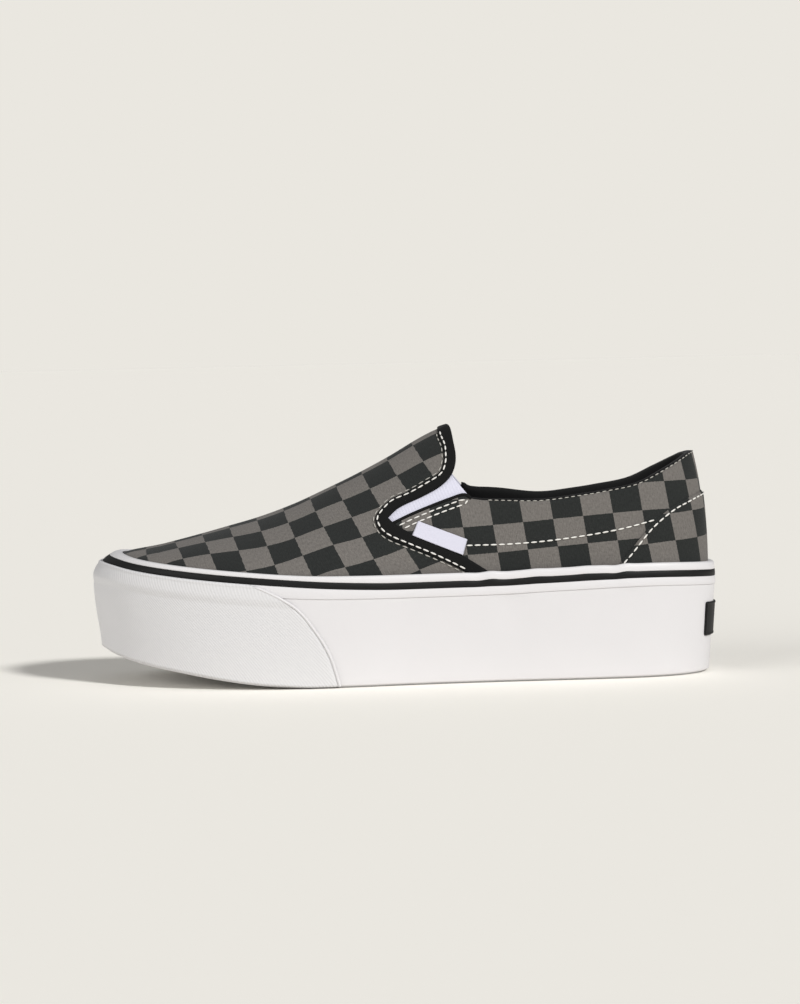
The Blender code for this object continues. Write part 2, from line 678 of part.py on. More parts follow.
tab_places = list(range(station_near(0.37), station_near(0.50) + 1))
tab_high = t_at_height(tape_top(SHARE) + INSTEP_H * 0.45)
label_tab = sheet("label_tab", around(tab_places, clear, tab_high, 6, GAP),
                  around(tab_places, clear, tab_high, 6, GAP + TAB_T), parts)
tab_line = smooth_line(TAB_OUTLINE + TAB_OUTLINE[:1], 1)[:-1]
trim(label_tab, prism("tab_cutter", tab_line, -PRISM, 0.0, cutters), "INTERSECT")
paint(label_tab, "tab_ribbon")

insole_inset = TAPE_T + GAP + WALL + 0.0004
insole = block("insole", [
    ring(insole_inset + lean(SHARE, 0.1), tape_foot),
    ring(insole_inset + 1.3 * lean(SHARE, INSOLE_T / TAPE_H), tape_foot, INSOLE_T),
], parts)
paint(insole, "lining")

for cutter in cutters.objects:
    cutter.hide_render = True
    cutter.display_type = "WIRE"
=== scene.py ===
"""Dressed model of a platform slip-on sneaker, left shoe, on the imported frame.

The shoe stands on z = 0 with its toe to -X and its outer side to -Y. Lengths are metres unless
a name says mm.
"""
import logging
import math
from dataclasses import dataclass, field
from enum import Enum
from typing import Callable, Iterable, Sequence

import bmesh
import bpy
import numpy as np
from mathutils import Matrix, Vector


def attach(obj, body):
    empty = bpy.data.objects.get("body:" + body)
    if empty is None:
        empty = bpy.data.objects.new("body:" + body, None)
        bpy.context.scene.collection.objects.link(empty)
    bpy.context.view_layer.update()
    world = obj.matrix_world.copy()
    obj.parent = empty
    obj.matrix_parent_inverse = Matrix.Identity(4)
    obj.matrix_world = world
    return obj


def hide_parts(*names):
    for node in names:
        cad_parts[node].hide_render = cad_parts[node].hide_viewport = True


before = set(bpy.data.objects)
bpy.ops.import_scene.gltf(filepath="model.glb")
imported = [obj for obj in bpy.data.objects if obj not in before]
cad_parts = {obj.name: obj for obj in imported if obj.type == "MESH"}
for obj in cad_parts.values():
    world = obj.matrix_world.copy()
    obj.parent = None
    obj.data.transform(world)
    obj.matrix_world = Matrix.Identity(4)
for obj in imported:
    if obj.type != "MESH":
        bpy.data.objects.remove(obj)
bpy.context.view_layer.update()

log = logging.getLogger("sneaker")
Array = np.ndarray
MM = 0.001
CLOTH_UNIT = 0.1    # metres of cloth for one unit of a piece's UV map


class Side(Enum):
    """The two sides of a left shoe, as the sign of Y."""

    OUTER = -1
    INNER = 1


@dataclass(frozen=True)
class Sizes:
    """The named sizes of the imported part, in metres."""

    length: float = 0.2697
    width: float = 0.0960
    platform_h: float = 0.0474
    instep_h: float = 0.0614
    toe_spring: float = 0.0146
    side_flare: float = 0.0029
    edge_round: float = 0.0006
    lip: float = 0.0007     # the platform's side stops this far above the floor
    outsole_rim: float = 0.0016
    tape_h: float = 0.0097
    tape_t: float = 0.0034
    tape_lean_toe: float = 0.0100
    tape_lean: float = 0.0004
    ledge: float = 0.0004
    stripe_low: float = 0.0036
    stripe_h: float = 0.0028
    stripe_rise: float = 0.00135    # the white band over the stripe narrows over the toe
    bumper_t: float = 0.0009
    patch_half: float = 0.0185
    patch_low: float = 0.0152
    patch_h: float = 0.0147
    insole_t: float = 0.0036
    wall: float = 0.0018
    tuck: float = 0.0008
    gap: float = 0.0003
    heel_axis: float = 0.110
    toe_axis: float = 0.886
    check: float = 0.0126


SIZE = Sizes()

# Outline of the sole: share of the length from the heel, share of the half width
OUTLINE = [
    (0.000, -0.02), (0.012, -0.32), (0.045, -0.535), (0.100, -0.685), (0.180, -0.755),
    (0.280, -0.785), (0.400, -0.825), (0.500, -0.900), (0.600, -0.980), (0.660, -1.000),
    (0.740, -0.980), (0.820, -0.880), (0.890, -0.700), (0.945, -0.460), (0.982, -0.180),
    (1.000, 0.160), (0.987, 0.480), (0.955, 0.680), (0.900, 0.860), (0.830, 0.970),
    (0.760, 1.000), (0.680, 0.960), (0.600, 0.870), (0.500, 0.750), (0.400, 0.690),
    (0.300, 0.680), (0.200, 0.695), (0.120, 0.650), (0.050, 0.500), (0.013, 0.280),
]
# Top edge of the tape: share of the length, share of the platform height
TAPE_TOP = [
    (0.00, 0.992), (0.03, 1.009), (0.12, 1.029), (0.25, 1.011), (0.35, 0.992), (0.45, 0.988),
    (0.55, 0.990), (0.65, 1.003), (0.75, 1.047), (0.85, 1.102), (0.92, 1.150), (0.97, 1.196),
    (1.00, 1.214),
]
# Underside: share of the length, share of the toe spring
SPRING = [
    (0.000, 0.00), (0.640, 0.00), (0.674, 0.03), (0.729, 0.11), (0.797, 0.29), (0.854, 0.47),
    (0.901, 0.62), (0.935, 0.75), (0.958, 0.85), (0.991, 1.00), (1.000, 1.04),
]
# Crest of the vamp above the tape: share of the length, share of the instep height
CREST = [
    (0.110, 1.17), (0.250, 1.15), (0.350, 1.09), (0.424, 0.994), (0.442, 0.968), (0.468, 0.914),
    (0.520, 0.783), (0.573, 0.661), (0.625, 0.551), (0.677, 0.440), (0.729, 0.341),
    (0.781, 0.258), (0.833, 0.175), (0.872, 0.114), (0.886, 0.092),
]
# Sideways place of the crest: share of the length, share of the half width
SPINE = [(0.00, -0.02), (0.30, 0.00), (0.55, 0.03), (0.75, 0.08), (0.886, 0.14), (1.00, 0.16)]
# Fullness of a section: share of the length, near the tape, near the crest
FULLNESS = [
    (0.000, 0.90, 0.30), (0.060, 0.86, 0.31), (0.120, 0.74, 0.37), (0.200, 0.64, 0.50),
    (0.300, 0.55, 0.56), (0.380, 0.46, 0.52), (0.450, 0.38, 0.44), (0.520, 0.31, 0.40),
    (0.600, 0.28, 0.38), (0.680, 0.28, 0.38), (0.760, 0.32, 0.42), (0.840, 0.42, 0.50),
    (0.900, 0.45, 0.52), (1.000, 0.35, 0.50),
]
# Lean of the tape over the toe: share of the length, share of its lean there
LEAN = [
    (0.00, 0.00), (0.76, 0.00), (0.84, 0.05), (0.90, 0.20), (0.94, 0.42), (0.97, 0.70),
    (1.00, 1.00),
]
# Rise of that lean: height share of the tape, share of the lean
LEAN_RISE = [
    (-2.8, 0.00), (-1.4, -0.06), (-0.8, -0.05), (-0.35, 0.00), (0.0, 0.08), (0.37, 0.27),
    (0.66, 0.50), (1.0, 0.93),
]
# Side views: share of the length from the heel, share of the instep height above the tape
VAMP_EDGE = [
    (0.4235, 0.998), (0.4205, 0.980), (0.417, 0.896), (0.414, 0.810), (0.415, 0.741),
    (0.421, 0.673), (0.430, 0.624), (0.445, 0.575), (0.469, 0.522), (0.495, 0.474),
    (0.510, 0.437), (0.523, 0.383),
]
QUARTER_EDGE = [
    (0.514, 0.345), (0.486, 0.400), (0.453, 0.456), (0.425, 0.499), (0.406, 0.525),
    (0.397, 0.520), (0.391, 0.497),
]
COLLAR_EDGE = [
    (0.375, 0.486), (0.345, 0.478), (0.283, 0.461), (0.222, 0.480), (0.182, 0.499),
    (0.131, 0.537), (0.088, 0.626), (0.054, 0.712), (0.041, 0.745), (0.020, 0.770),
    (-0.05, 0.775),
]
TRIM_FRONT = [
    (0.4400, 0.960), (0.4385, 0.916), (0.433, 0.855), (0.432, 0.794), (0.433, 0.744),
    (0.440, 0.676), (0.464, 0.611), (0.489, 0.553), (0.515, 0.506), (0.529, 0.456),
    (0.540, 0.397), (0.542, 0.354), (0.536, 0.295), (0.521, 0.241), (0.487, 0.177),
    (0.448, 0.103), (0.404, 0.004), (0.380, -0.060),
]
TRIM_REAR = [
    (0.523, 0.383), (0.514, 0.345), (0.498, 0.299), (0.471, 0.244), (0.447, 0.197),
    (0.408, 0.114), (0.376, 0.025), (0.350, -0.060),
]
COUNTER_EDGE = [
    (0.168, -0.060), (0.160, 0.009), (0.144, 0.088), (0.124, 0.194), (0.107, 0.272),
    (0.082, 0.360), (0.060, 0.415), (0.019, 0.492), (-0.05, 0.535),
]
# Rear edge of the toe bumper: height share from the floor to the stripe, share of the length
BUMPER_EDGE = [
    (0.00, 0.601), (0.08, 0.604), (0.34, 0.617), (0.59, 0.640), (0.79, 0.667), (0.88, 0.690),
    (0.94, 0.711), (0.98, 0.728), (1.00, 0.738),
]

# Seams that show through the tape: middle and width in mm, share of the ripple's height
TAPE_RIPPLES = [(33.0, 3.0, -0.9), (38.0, 3.5, 0.8), (45.5, 4.0, -0.45), (58.0, 7.0, 0.3),
                (88.0, 3.0, -0.6), (93.0, 3.5, 0.75), (101.0, 5.0, -0.35)]
# Rise and fall of the tape's top edge over them: middle, width and height in mm
TAPE_LIFTS = [(31.0, 3.5, -0.25), (37.0, 3.0, 0.35), (44.0, 4.0, -0.15), (56.0, 4.0, 0.3),
              (77.0, 4.0, 0.2), (89.0, 3.0, -0.35), (94.0, 3.0, 0.3)]
# Broad faint dents of the platform's side under them: middle, width and depth in mm
SIDE_DENTS = [(46.0, 7.0, -0.28), (96.0, 6.0, -0.2), (60.0, 9.0, 0.16)]
# Soft troughs of the canvas: X, Z, tilt in degrees, length, width and depth in mm
CANVAS_TROUGHS = [(-18.0, 62.0, 62.0, 17.0, 4.5, 0.32), (-31.0, 66.0, 55.0, 15.0, 5.0, 0.28),
                  (-48.0, 62.0, 50.0, 13.0, 6.0, 0.22), (40.0, 66.0, 20.0, 13.0, 3.0, 0.22),
                  (72.0, 56.0, -25.0, 16.0, 3.5, 0.25), (100.0, 64.0, 68.0, 9.0, 4.0, 0.25)]
# Lower and upper edge of a gore's elastic in the side view, from the front, in mm
GORE_LOW = np.array([(-9.5, 67.2), (3.8, 68.6), (12.5, 71.8), (20.0, 74.6), (29.4, 77.6)])
GORE_HIGH = np.array([(-9.5, 72.3), (-1.0, 78.8), (8.0, 83.3), (15.0, 87.3), (21.4, 87.6)])
GORE_GRAIN = np.array([(0.92, -0.39), (0.39, 0.92)])    # its ribs stand 23 degrees off upright
# Corners of the side tab in the side view, round from its upper front end, in mm
TAB_CORNERS = np.array([(6.6, 68.3), (27.3, 60.4), (25.3, 54.0), (4.0, 62.6)])
# Section of the collar, outside to inside: height over the edge, distance outward, in mm
COLLAR_ROLL = np.array([(-1.2, -1.0), (-0.2, -0.5), (0.4, -0.5), (0.75, -1.1), (0.85, -2.0),
                        (0.6, -3.2), (0.0, -4.2), (-1.6, -4.8), (-5.0, -5.1), (-10.0, -4.8),
                        (-15.0, -3.8), (-19.0, -2.6), (-23.0, -2.1), (-30.0, -2.1),
                        (-46.0, -2.1)])
# Section of the folded trim: share of its width, height over the canvas in mm
TRIM_FOLD = np.array([(0.0, -0.3), (0.0, 0.35), (0.05, 0.75), (0.18, 0.9), (0.5, 0.92),
                      (0.82, 0.9), (0.95, 0.75), (1.02, 0.2), (1.03, -0.6), (0.99, -1.5),
                      (0.85, -1.9), (0.4, -1.8)])
# Row of stitches across the quarter in the side view, in mm
QUARTER_ROW = np.array([(26.8, 58.0), (46.4, 58.2), (66.2, 59.6), (90.2, 62.9),
                        (108.8, 67.1)])


def curve(table: Sequence[tuple[float, float]], s: Array | float) -> Array:
    """Read a two-column table by a monotone cubic through its rows.

    Args:
        table: rows of place and value.
        s: places to read.

    Returns:
        The values at s.
    """
    rows = sorted(table)
    xs = np.array([row[0] for row in rows])
    ys = np.array([row[1] for row in rows])
    steps = np.diff(ys) / np.diff(xs)
    slope = np.concatenate([[steps[0]], (steps[:-1] + steps[1:]) / 2, [steps[-1]]])
    slope[1:-1][steps[:-1] * steps[1:] <= 0] = 0.0
    s = np.clip(np.asarray(s, float), xs[0], xs[-1])
    cell = np.clip(np.searchsorted(xs, s) - 1, 0, len(xs) - 2)
    width = xs[cell + 1] - xs[cell]
    u = (s - xs[cell]) / width
    return ((2 * u**3 - 3 * u**2 + 1) * ys[cell] + (u**3 - 2 * u**2 + u) * width * slope[cell]
            + (3 * u**2 - 2 * u**3) * ys[cell + 1] + (u**3 - u**2) * width * slope[cell + 1])


def along(points: Array, shares: Array) -> Array:
    """Points of a smooth line at shares of its own length.

    Args:
        points: the line's knots, one row each.
        shares: places from 0 to 1.

    Returns:
        One point a share.
    """
    pts = np.asarray(points, float)
    padded = np.vstack([2 * pts[0] - pts[1], pts, 2 * pts[-1] - pts[-2]])
    fine = []
    for p0, p1, p2, p3 in zip(padded, padded[1:], padded[2:], padded[3:]):
        t = np.linspace(0, 1, 12, endpoint=False)[:, None]
        fine.append(0.5 * (2 * p1 + (p2 - p0) * t + (2 * p0 - 5 * p1 + 4 * p2 - p3) * t**2
                           + (3 * p1 - p0 - 3 * p2 + p3) * t**3))
    line = np.vstack(fine + [pts[-1:]])
    run = run_along(line)
    want = np.asarray(shares, float) * run[-1]
    return np.stack([np.interp(want, run, line[:, k]) for k in range(line.shape[1])], -1)


def run_along(points: Array) -> Array:
    """Distance run along a line at each of its points."""
    return np.concatenate([[0], np.cumsum(np.linalg.norm(np.diff(points, axis=0), axis=1))])


def height_over(line: Array) -> Callable[[Array], Array]:
    """Read a side-view line as Z over X.

    Args:
        line: the line in the side view.

    Returns:
        The height as a function of X.
    """
    order = np.argsort(line[:, 0])
    xs, zs = line[order, 0], line[order, 1]
    return lambda x: np.interp(x, xs, zs)


def humps(x: Array, table: Iterable[tuple[float, float, float]]) -> Array:
    """Sum of smooth humps, each given by its middle, its width and its height."""
    return sum(height * np.exp(-((x - middle) / width)**2) for middle, width, height in table)


def raised(flat: Array, z: Array, out: Array) -> tuple[Array, Array]:
    """Points over a flat line at their heights, and their level outward directions."""
    return (np.concatenate([flat, z[..., None]], -1),
            np.concatenate([out, np.zeros_like(z)[..., None]], -1))


def smoothstep(low: float, high: float, x: Array) -> Array:
    """Smooth rise from 0 at low to 1 at high."""
    u = np.clip((x - low) / (high - low), 0, 1)
    return u * u * (3 - 2 * u)


class Last:
    """The surface that the upper is lasted on, and the levels of the sole under it."""

    def __init__(self, size: Sizes) -> None:
        """Work out the outline's curve.

        Args:
            size: the part's named sizes.
        """
        self.size = size
        pts = np.array([(self.x_of(s), y * size.width / 2) for s, y in OUTLINE], float)
        count = len(pts)
        chord = np.linalg.norm(np.roll(pts, -1, 0) - pts, axis=1)
        system = np.zeros((count, count))
        right = np.zeros((count, 2))
        for i in range(count):
            before, after = (i - 1) % count, (i + 1) % count
            system[i, before] = chord[before]
            system[i, i] = 2 * (chord[before] + chord[i])
            system[i, after] = chord[i]
            right[i] = 6 * ((pts[after] - pts[i]) / chord[i]
                            - (pts[i] - pts[before]) / chord[before])
        self.knots, self.chord, self.count = pts, chord, count
        self.second = np.linalg.solve(system, right)
        grid = np.arange(0, count, 0.01)
        dense = self.outline(grid)[0]
        self.heel_q = float(grid[np.argmax(dense[:, 0])])
        self.toe_q = float(grid[np.argmin(dense[:, 0])])
        if self.heel_q > self.toe_q:
            self.heel_q -= count
        self.branch = {
            Side.OUTER: np.linspace(self.heel_q, self.toe_q, 1600),
            Side.INNER: np.linspace(self.heel_q + count, self.toe_q, 1600),
        }
        self.feather_x = {side: self.feather(q)[:, 0] for side, q in self.branch.items()}

    def x_of(self, s: Array | float) -> Array:
        """X at a share of the length from the heel."""
        return self.size.length * (0.5 - np.asarray(s, float))

    def s_of(self, x: Array | float) -> Array:
        """Share of the length from the heel at X."""
        return np.clip(0.5 - np.asarray(x, float) / self.size.length, 0, 1)

    def tape_top(self, x: Array) -> Array:
        """Height of the tape's top edge at X."""
        return self.size.platform_h * curve(TAPE_TOP, self.s_of(x))

    def tape_foot(self, x: Array) -> Array:
        """Height of the tape's foot at X."""
        return self.tape_top(x) - self.size.tape_h

    def underside(self, x: Array) -> Array:
        """Height of the sole's underside at X."""
        return self.size.toe_spring * curve(SPRING, self.s_of(x))

    def lean(self, s: Array, height: Array | float) -> Array:
        """How far the tape leans inward at a share of its height.

        Args:
            s: shares of the length.
            height: share of the tape's height.

        Returns:
            Inward distances.
        """
        size = self.size
        return (size.tape_lean * np.power(np.clip(height, 0, 1), 1.6)
                + size.tape_lean_toe * curve(LEAN, s) * curve(LEAN_RISE, height))

    def stripe_shift(self, x: Array, height: Array) -> Array:
        """Share of the tape's height by which its stripe stands higher over the toe.

        Args:
            x: places along the shoe.
            height: share of the tape's height.

        Returns:
            Shares of the tape's height.
        """
        size = self.size
        low = size.stripe_low / size.tape_h - 0.04
        high = (size.stripe_low + size.stripe_h) / size.tape_h + 0.04
        shape = np.interp(height, [0, low, high, 1], [0, 1, 1, 0])
        return size.stripe_rise / size.tape_h * smoothstep(0.50, 0.70, self.s_of(x)) * shape

    def outline(self, q: Array) -> tuple[Array, Array, Array]:
        """Points of the outline.

        Args:
            q: places on the curve, in knots.

        Returns:
            The points, the outward directions and the shares of the length.
        """
        q = np.asarray(q, float)
        cell = np.floor(q).astype(int) % self.count
        after = (cell + 1) % self.count
        b = (q - np.floor(q))[..., None]
        a = 1 - b
        chord = self.chord[cell][..., None]
        p0, p1 = self.knots[cell], self.knots[after]
        m0, m1 = self.second[cell], self.second[after]
        point = a * p0 + b * p1 + chord**2 / 6 * ((a**3 - a) * m0 + (b**3 - b) * m1)
        run = (p1 - p0) / chord + chord / 6 * ((1 - 3 * a**2) * m0 + (3 * b**2 - 1) * m1)
        out = np.stack([-run[..., 1], run[..., 0]], -1)
        out /= np.linalg.norm(out, axis=-1)[..., None]
        return point, out, self.s_of(point[..., 0])

    def feather(self, q: Array) -> Array:
        """Points where the upper comes out of the tape.

        Args:
            q: outline places.

        Returns:
            The points.
        """
        size = self.size
        point, out, s = self.outline(q)
        flat = point - out * (size.tape_t + size.gap + self.lean(s, 1.0))[..., None]
        return np.concatenate([flat, (self.tape_top(flat[..., 0]) - size.tuck)[..., None]], -1)

    def q_at(self, side: Side, x: Array | float) -> Array:
        """Place on one side whose section stands at X.

        Args:
            side: outer or inner.
            x: places along the shoe.

        Returns:
            The outline places.
        """
        xs = self.feather_x[side]
        order = np.argsort(xs)
        return np.interp(x, xs[order], self.branch[side][order])

    def axis(self, x: Array) -> tuple[Array, Array]:
        """Crest over X.

        Args:
            x: places along the shoe.

        Returns:
            The crest's points and its slope there.
        """
        size = self.size
        x = np.clip(x, self.x_of(size.toe_axis), self.x_of(size.heel_axis))
        s = 0.5 - x / size.length
        step = 0.001
        z = self.tape_top(x) + size.instep_h * curve(CREST, s)
        ahead = (self.tape_top(x - step * size.length)
                 + size.instep_h * curve(CREST, s + step))
        slope = np.where(s + step < size.toe_axis, (z - ahead) / (step * size.length), 0.23)
        slope = np.where(s < size.heel_axis + 0.01, 0.0, slope)
        return np.stack([x, size.width / 2 * curve(SPINE, s), z], -1), slope

    def section(self, q: Array, t: Array) -> Array:
        """Outside of the upper.

        Args:
            q: places on the outline.
            t: -1 at the foot of the tape, 0 at its top, 1 at the crest.

        Returns:
            The points.
        """
        q, t = np.broadcast_arrays(np.asarray(q, float), np.asarray(t, float))
        size = self.size
        point, out, s = self.outline(q)
        height = np.clip(1 + t, 0, 1)
        flat = point - out * (size.tape_t + size.gap + self.lean(s, height))[..., None]
        low = np.concatenate([flat, (self.tape_foot(flat[..., 0])
                                     + (size.tape_h - size.tuck) * height)[..., None]], -1)
        base = self.feather(q)
        top, slope = self.axis(base[..., 0])
        near = curve([(row[0], row[1]) for row in FULLNESS], s)
        far = curve([(row[0], row[2]) for row in FULLNESS], s)
        first = base.copy()
        first[..., 2] += near * (top[..., 2] - base[..., 2])
        second = top + far[..., None] * (base - top)
        second[..., 2] = top[..., 2] + slope * (second[..., 0] - top[..., 0])
        u = np.clip(t, 0, 1.2)[..., None]
        high = ((1 - u)**3 * base + 3 * (1 - u)**2 * u * first
                + 3 * (1 - u) * u**2 * second + u**3 * top)
        return np.where((t < 0)[..., None], low, high)

    def normal(self, q: Array, t: Array) -> Array:
        """Outward directions of the upper's outside.

        Args:
            q: outline places.
            t: shares up the section.

        Returns:
            Unit directions.
        """
        q, t = np.broadcast_arrays(np.asarray(q, float), np.asarray(t, float))
        cap = np.minimum(t, 0.998)
        up = self.section(q, cap + 0.004) - self.section(q, cap - 0.004)
        run = self.section(q + 0.02, cap) - self.section(q - 0.02, cap)
        out = np.cross(up, run)
        out /= np.maximum(np.linalg.norm(out, axis=-1), 1e-15)[..., None]
        flat = self.outline(q)[1]
        sign = np.sign((out[..., :2] * flat).sum(-1) + 0.2 * out[..., 2])
        out = out * sign[..., None]
        slope = self.axis(self.feather(q)[..., 0])[1]
        pole = np.stack([-slope, np.zeros_like(slope), np.ones_like(slope)], -1)
        pole /= np.linalg.norm(pole, axis=-1)[..., None]
        blend = smoothstep(0.94, 1.0, t)[..., None]
        out = out * (1 - blend) + pole * blend
        return out / np.linalg.norm(out, axis=-1)[..., None]

    def at(self, q: Array, t: Array, offset: Array | float = 0.0) -> tuple[Array, Array]:
        """Points off the surface.

        Args:
            q: places on the outline.
            t: share up the section.
            offset: distance outward.

        Returns:
            The points and the outward directions.
        """
        out = self.normal(q, t)
        return self.section(q, t) + out * np.asarray(offset, float)[..., None], out

    def flat(self, rows: Sequence[tuple[float, float]]) -> Array:
        """Side-view rows of shares as X and Z.

        Args:
            rows: shares of the length and of the instep height.

        Returns:
            The points.
        """
        pts = np.array(rows, float)
        x = self.x_of(pts[:, 0])
        return np.stack([x, self.tape_top(x) + self.size.instep_h * pts[:, 1]], -1)

    def locate(self, side: Side, x: Array, z: Array) -> tuple[Array, Array]:
        """Find the place on one side that the side view shows at X, Z.

        Args:
            side: outer or inner.
            x: places along the shoe.
            z: heights.

        Returns:
            Outline places and shares up the section.
        """
        x, z = np.broadcast_arrays(np.asarray(x, float), np.asarray(z, float))
        ends = self.branch[side][0], self.branch[side][-1]
        q = self.q_at(side, x)
        t = np.minimum(self.t_for_height(q, z), 0.999)
        for _ in range(10):
            here = self.section(q, t)[..., ::2] - np.stack([x, z], -1)
            ahead, behind = (self.section(q + d, t)[..., ::2] for d in (0.01, -0.01))
            by_q = (ahead - behind) / 0.02
            by_t = (self.section(q, t + 0.001)[..., ::2]
                    - self.section(q, t - 0.001)[..., ::2]) / 0.002
            area = by_q[..., 0] * by_t[..., 1] - by_q[..., 1] * by_t[..., 0]
            area = np.where(np.abs(area) < 1e-9, 1e-9, area)
            dq = (here[..., 0] * by_t[..., 1] - here[..., 1] * by_t[..., 0]) / area
            dt = (by_q[..., 0] * here[..., 1] - by_q[..., 1] * here[..., 0]) / area
            q = np.clip(q - np.clip(dq, -0.4, 0.4), min(ends), max(ends))
            t = np.clip(t - np.clip(dt, -0.1, 0.1), -1.0, 0.9999)
        return q, t

    def t_for_height(self, q: Array, z: Array) -> Array:
        """Share up the section at which it reaches the height z."""
        return self.t_under(q, lambda x: z)

    def crossing(self, side: Side, x: Array | float) -> Array:
        """Outline place of one side at an X.

        Args:
            side: outer or inner.
            x: places along the shoe.

        Returns:
            The outline places.
        """
        q = self.branch[side]
        xs = self.outline(q)[0][:, 0]
        order = np.argsort(xs)
        return np.interp(x, xs[order], q[order])

    def ends(self) -> tuple[float, float]:
        """Outline X of the heel and of the toe."""
        return tuple(self.outline(np.array([self.heel_q, self.toe_q]))[0][:, 0])

    def t_under(self, q: Array, edge: Callable[[Array], Array]) -> Array:
        """Share up the section at which it meets an edge given as Z over X.

        Args:
            q: outline places.
            edge: height of the edge over X.

        Returns:
            Shares up the section.
        """
        low, high = np.full(np.shape(q), -1.0), np.full(np.shape(q), 1.0)
        for _ in range(24):
            mid = (low + high) / 2
            here = self.section(q, mid)
            under = here[..., 2] < edge(here[..., 0])
            low = np.where(under, mid, low)
            high = np.where(under, high, mid)
        return (low + high) / 2


LAST = Last(SIZE)


# Colours and materials
def linear(hex_colour: str) -> tuple[float, float, float, float]:
    """Turn an sRGB hex colour to linear.

    Args:
        hex_colour: six hex digits.

    Returns:
        Linear red, green, blue and an alpha of 1.
    """
    parts = [int(hex_colour[i:i + 2], 16) / 255 for i in (0, 2, 4)]
    return (*[c / 12.92 if c <= 0.04045 else ((c + 0.055) / 1.055)**2.4 for c in parts], 1.0)


def add_node(tree: bpy.types.NodeTree, kind: str, inputs: dict | None = None,
             **settings: object) -> bpy.types.Node:
    """Add a node with its settings and links.

    Args:
        tree: the node tree.
        kind: the node's type without its prefix.
        inputs: values or sockets by input name or number.
        settings: the node's own properties.

    Returns:
        The node.
    """
    node = tree.nodes.new("ShaderNode" + kind)
    for key, value in settings.items():
        setattr(node, key, value)
    for key, value in (inputs or {}).items():
        if isinstance(value, bpy.types.NodeSocket):
            tree.links.new(value, node.inputs[key])
        else:
            node.inputs[key].default_value = value
    return node


def wave_scale(pitch_mm: float) -> float:
    """Scale of a wave texture on the UV map for bands of one pitch."""
    return 2 * math.pi / 20 * CLOTH_UNIT / (pitch_mm * MM)


@dataclass(frozen=True)
class Finish:
    """What every finish shares: gloss, two tones and a relief that follow one pattern."""

    name: str
    roughness: float = 0.6
    specular: float = 0.35
    low: str = "808080"     # tone where the pattern is low
    high: str = "808080"    # tone where it is high
    bump: float = 0.05
    relief_mm: float = 0.3
    sheen: float = 0.0

    def start(self) -> tuple[bpy.types.Material, bpy.types.NodeTree, bpy.types.Node]:
        """Make the material with its shader.

        Returns:
            The material, its tree and its shader node.
        """
        material = bpy.data.materials.new(self.name)
        material.use_nodes = True
        tree = material.node_tree
        shader = tree.nodes["Principled BSDF"]
        for socket, value in (("Roughness", self.roughness), ("IOR", 1.5),
                              ("Specular IOR Level", self.specular),
                              ("Sheen Weight", self.sheen)):
            shader.inputs[socket].default_value = value
        return material, tree, shader

    def finish(self, tree: bpy.types.NodeTree, shader: bpy.types.Node,
               tone: bpy.types.NodeSocket, height: bpy.types.NodeSocket) -> None:
        """Mix the tones by one pattern and raise the relief by another.

        Args:
            tree: the node tree.
            shader: its shader.
            tone: the pattern of the tones, or a colour that is used as it is.
            height: the pattern of the relief.
        """
        if tone.type == "VALUE":
            tone = add_node(tree, "Mix", {0: tone, 6: linear(self.low), 7: linear(self.high)},
                            data_type="RGBA").outputs[2]
        bump = add_node(tree, "Bump", {"Height": height, "Strength": self.bump,
                                       "Distance": self.relief_mm * MM})
        tree.links.new(tone, shader.inputs["Base Color"])
        tree.links.new(bump.outputs["Normal"], shader.inputs["Normal"])


@dataclass(frozen=True)
class Rubber(Finish):
    """Vulcanised rubber: milky and even, a soft sheen, faint moulding waves."""

    low: str = "d9d7d8"
    high: str = "d3d1d2"
    cloud_mm: float = 1000 / 28
    grain_mm: float = 1.1

    def build(self) -> bpy.types.Material:
        """Make the rubber material.

        Returns:
            The material.
        """
        material, tree, shader = self.start()
        place = add_node(tree, "TexCoord").outputs["Object"]
        cloud, grain = (add_node(tree, "TexNoise", {"Vector": place, "Scale": 1 / (size * MM),
                                                    "Detail": detail}).outputs["Fac"]
                        for size, detail in ((self.cloud_mm, 3.0), (self.grain_mm, 4.0)))
        self.finish(tree, shader, cloud, grain)
        return material


@dataclass(frozen=True)
class Ribbed(Finish):
    """Fine even ribs across a sheet, read from its UV map: they catch a soft striped light, and
    their grooves are given the darker tone as painted shade.
    """

    pitch_mm: float = 1.45
    waver: float = 0.0

    def build(self) -> bpy.types.Material:
        """Make the ribbed material.

        Returns:
            The material.
        """
        material, tree, shader = self.start()
        cloth = add_node(tree, "UVMap").outputs["UV"]
        ribs = add_node(tree, "TexWave", {"Vector": cloth, "Distortion": self.waver,
                                          "Scale": wave_scale(self.pitch_mm)},
                        bands_direction="X").outputs["Fac"]
        # the same ribs mix the tones: the grooves get the low tone, a painted shade, and the
        # ridges the high one
        self.finish(tree, shader, ribs, ribs)
        return material


